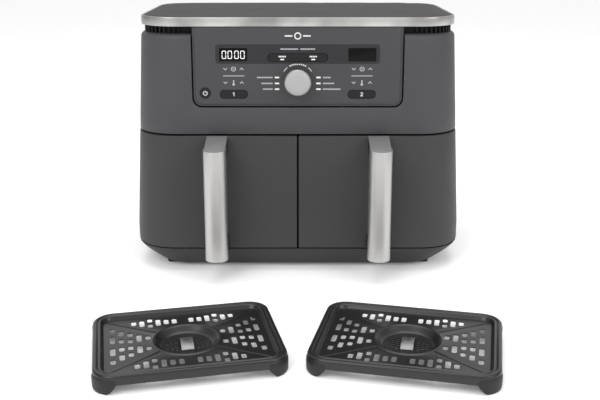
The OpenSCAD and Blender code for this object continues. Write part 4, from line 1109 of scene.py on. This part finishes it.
def hookFoot(name, sx, sy):  # rubber corner boot: sections swept round the corner, tapering to the ends
    innerX, innerY = plate["length"] / 2 - plate["corner"], plate["width"] / 2 - plate["corner"]
    loops, steps = [], 22
    for step in range(steps + 1):
        share = 2 * step / steps - 1
        turn = math.radians(45 + 43 * share)
        lift = 8.2 * mm * max(0, (abs(share) - 0.42) / 0.58) ** 1.6
        top = 15.6 * mm - 1.6 * mm * abs(share) ** 3
        fat = 1 - 0.55 * abs(share) ** 6
        section = [(-5.6, 1.2), (-4.8, 0.2), (-2.4, 0), (0.2, 0.1), (1.1, 1.6), (1.2, 5), (1.2, 10),
            (0.9, 14.2),
            (0.2, 15.4), (-0.8, 15.6), (-1.2, 14), (-1.6, 9.2), (-4.2, 8.4), (-5.8, 6)]
        loop = []
        for out, up in section:
            radius = plate["corner"] + out * mm * fat
            z = lift + (top - lift) * up / 15.6
            loop.append((sx * (innerX + radius * math.cos(turn)), sy * (innerY + radius * math.sin(turn)), z))
        loops.append(loop)
    return loftLoops(name, loops, "siliconeRubber", capFirst=True, capLast=True)


def joinPieces(name, pieces):
    bm = bmesh.new()
    for piece in pieces:
        bm.from_mesh(piece.data)
    material = pieces[0].data.materials[0].name
    for piece in pieces:
        bpy.data.objects.remove(piece)
    return meshPiece(name, bm, material)


def makePlate(side):
    body, sheet = side + "_plate", plate["sheet"]
    rim, under = [], []
    for inset, z in plateEdge:
        rim.append([(x, y, z * mm) for x, y in plateLoop(inset * mm)])
        under.append([(x, y, z * mm - (sheet if z > 10 else 0)) for x, y in plateLoop(max(inset * mm, sheet)
            if inset < 3 else inset * mm)])
    angles = [math.atan2(y, x) for x, y in plateLoop(0)]
    dish = [[(r * mm * math.cos(a), r * mm * math.sin(a), z * mm) for a in angles] for r, z in plateWell]
    dishUnder = [[(x, y, z - sheet) for x, y, z in loop] for loop in dish]
    loops = dish[::-1] + rim[::-1] + under + dishUnder
    tray = loftLoops(side + "PlateTray", loops, "nonStick", capFirst=True, capLast=True)
    tidyNormals(tray, weld=0.000002)
    holes = barsPiece("holes", plateHoles(), "nonStick")
    tidyNormals(holes)
    roundEdges(holes, plate["holeEdge"], 3)
    slots = barsPiece("slots", wellSlots(), "nonStick")
    tidyNormals(slots)
    roundEdges(slots, 0.6 * mm, 2)
    cutAway(tray, [holes, slots])
    tray.data.transform(platePlace(side))
    finishPiece(tray, body, [side + "_crisper_plate"], angle=35)
    x0, y0, x1, y1 = 26.5 * mm, 20.5 * mm, 80 * mm, 57.5 * mm
    length, lean = math.hypot(x1 - x0, y1 - y0), math.atan2(y1 - y0, x1 - x0)
    ribs = barsPiece(side + "PlateRibs", [((sx * (x0 + x1) / 2, sy * (y0 + y1) / 2, plate["floor"]),
        (length, plate["ribWidth"], plate["ribHeight"]), (0, 0, sx * sy * lean)) for sx in (-1, 1)
        for sy in (-1, 1)], "nonStick")
    ribs.data.transform(platePlace(side))
    finishPiece(ribs, body, edge=0.5 * mm, steps=3, angle=30)
    feet = joinPieces(side + "PlateBoots", [hookFoot("boot", sx, sy) for sx in (-1, 1) for sy in (-1, 1)])
    feet.data.transform(platePlace(side))
    finishPiece(feet, body, [side + "_plate_feet"], angle=40)
    halfW, halfL, steps, bottom = plate["strapWidth"] / 2, plate["strapLength"] / 2, 16, plate["wellFloor"]
    arch = []
    for step in range(steps + 1):
        y = -halfL + 2 * halfL * step / steps
        arch.append((y, bottom + (plate["strapRise"] - sheet)
            * math.cos(math.pi / 2 * (y / halfL)) ** 0.8 + 0.02 * mm))
    loops = [[(x, y, z) for y, z in arch] + [(x, y, z + sheet) for y, z in reversed(arch)]
        for x in (-halfW, halfW)]
    strap = loftLoops(side + "LiftStrap", loops, "groundSteel", capFirst=True, capLast=True)
    strap.data.transform(platePlace(side))
    finishPiece(strap, body, [side + "_plate_strap"], edge=0.25 * mm, steps=2, angle=40)


for side in sides:
    makePlate(side)
print("crisper plates")


screws = {"turn": 0.3, "headEdge": 0.5 * mm, "headIn": 6 * mm, "head": 3.6 * mm,
    "height": 1.6 * mm, "slotLength": 4.4 * mm, "slotWidth": 1.0 * mm}


def screwTree():
    tree, start, end = geometryTree("screwHeads", {"Head Radius": 0.0036, "Head Height": 0.0016})
    head = addNode(tree, "GeometryNodeMeshCylinder", {"Vertices": 32}, {"Radius": start.outputs["Head Radius"],
        "Depth": start.outputs["Head Height"]})
    placed = addNode(tree, "GeometryNodeInstanceOnPoints", {"Rotation": (math.pi / 2, 0, 0)},
        {"Points": start.outputs["Geometry"], "Instance": head.outputs["Mesh"]})
    real = addNode(tree, "GeometryNodeRealizeInstances", {}, {"Geometry": placed.outputs[0]})
    dressed = addNode(tree, "GeometryNodeSetMaterial", {"Material": finish["zincSheet"]},
        {"Geometry": real.outputs[0]})
    tree.links.new(dressed.outputs[0], end.inputs["Geometry"])
    return tree


def makeRearScrews():
    low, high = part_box("rear_grille")
    places = [(x, high.y + screws["height"] / 2, z)
        for x in (low.x + screws["headIn"], high.x - screws["headIn"])
        for z in (low.z + screws["headIn"], high.z - screws["headIn"])]
    heads = newPiece("rearScrewHeads", places, [], "zincSheet")
    runTree(heads, screwTree(), {"Head Radius": screws["head"], "Head Height": screws["height"]})
    tidyNormals(heads)
    roundEdges(heads, screws["headEdge"], 3)
    # one cutter for each arm of the cross, because arms that overlap in one cutter empty the head
    cutAway(heads, [barsPiece("slot", [((x, high.y + screws["height"], z), (screws["slotLength"],
        screws["height"], screws["slotWidth"]), (0, turn, 0)) for x, _, z in places], "zincSheet")
        for turn in (screws["turn"], screws["turn"] + math.pi / 2)])
    finishPiece(heads, "fryer", ["rear_screws"], angle=40)


makeRearScrews()


dressing = {
    "blackAbs": ["rear_grille", "left_handle_core", "right_handle_core", "left_cooling_fan",
        "right_cooling_fan"],
    "siliconeRubber": ["feet", "cord_gland"],
    "zincSheet": ["left_cavity_liner", "right_cavity_liner", "drawer_rails", "left_impeller",
        "right_impeller", "base_screws", "left_handle_screws", "right_handle_screws"],
    "groundSteel": ["left_fan_shaft", "right_fan_shaft", "dial_shaft", "dial_encoder"],
    "nonStick": ["left_basket", "right_basket"],
    "oxidisedTube": ["left_heater", "right_heater"],
    "motorCan": ["left_motor", "right_motor"],
    "solderMask": ["control_board", "power_board"],
    "keyAbs": ["dial_collar"],
}
for material, nodes in dressing.items():
    for node in nodes:
        for place in bpy.data.objects[node].material_slots:
            place.material = finish[material]
print("finishes on the CAD parts")

bpy.context.view_layer.update()
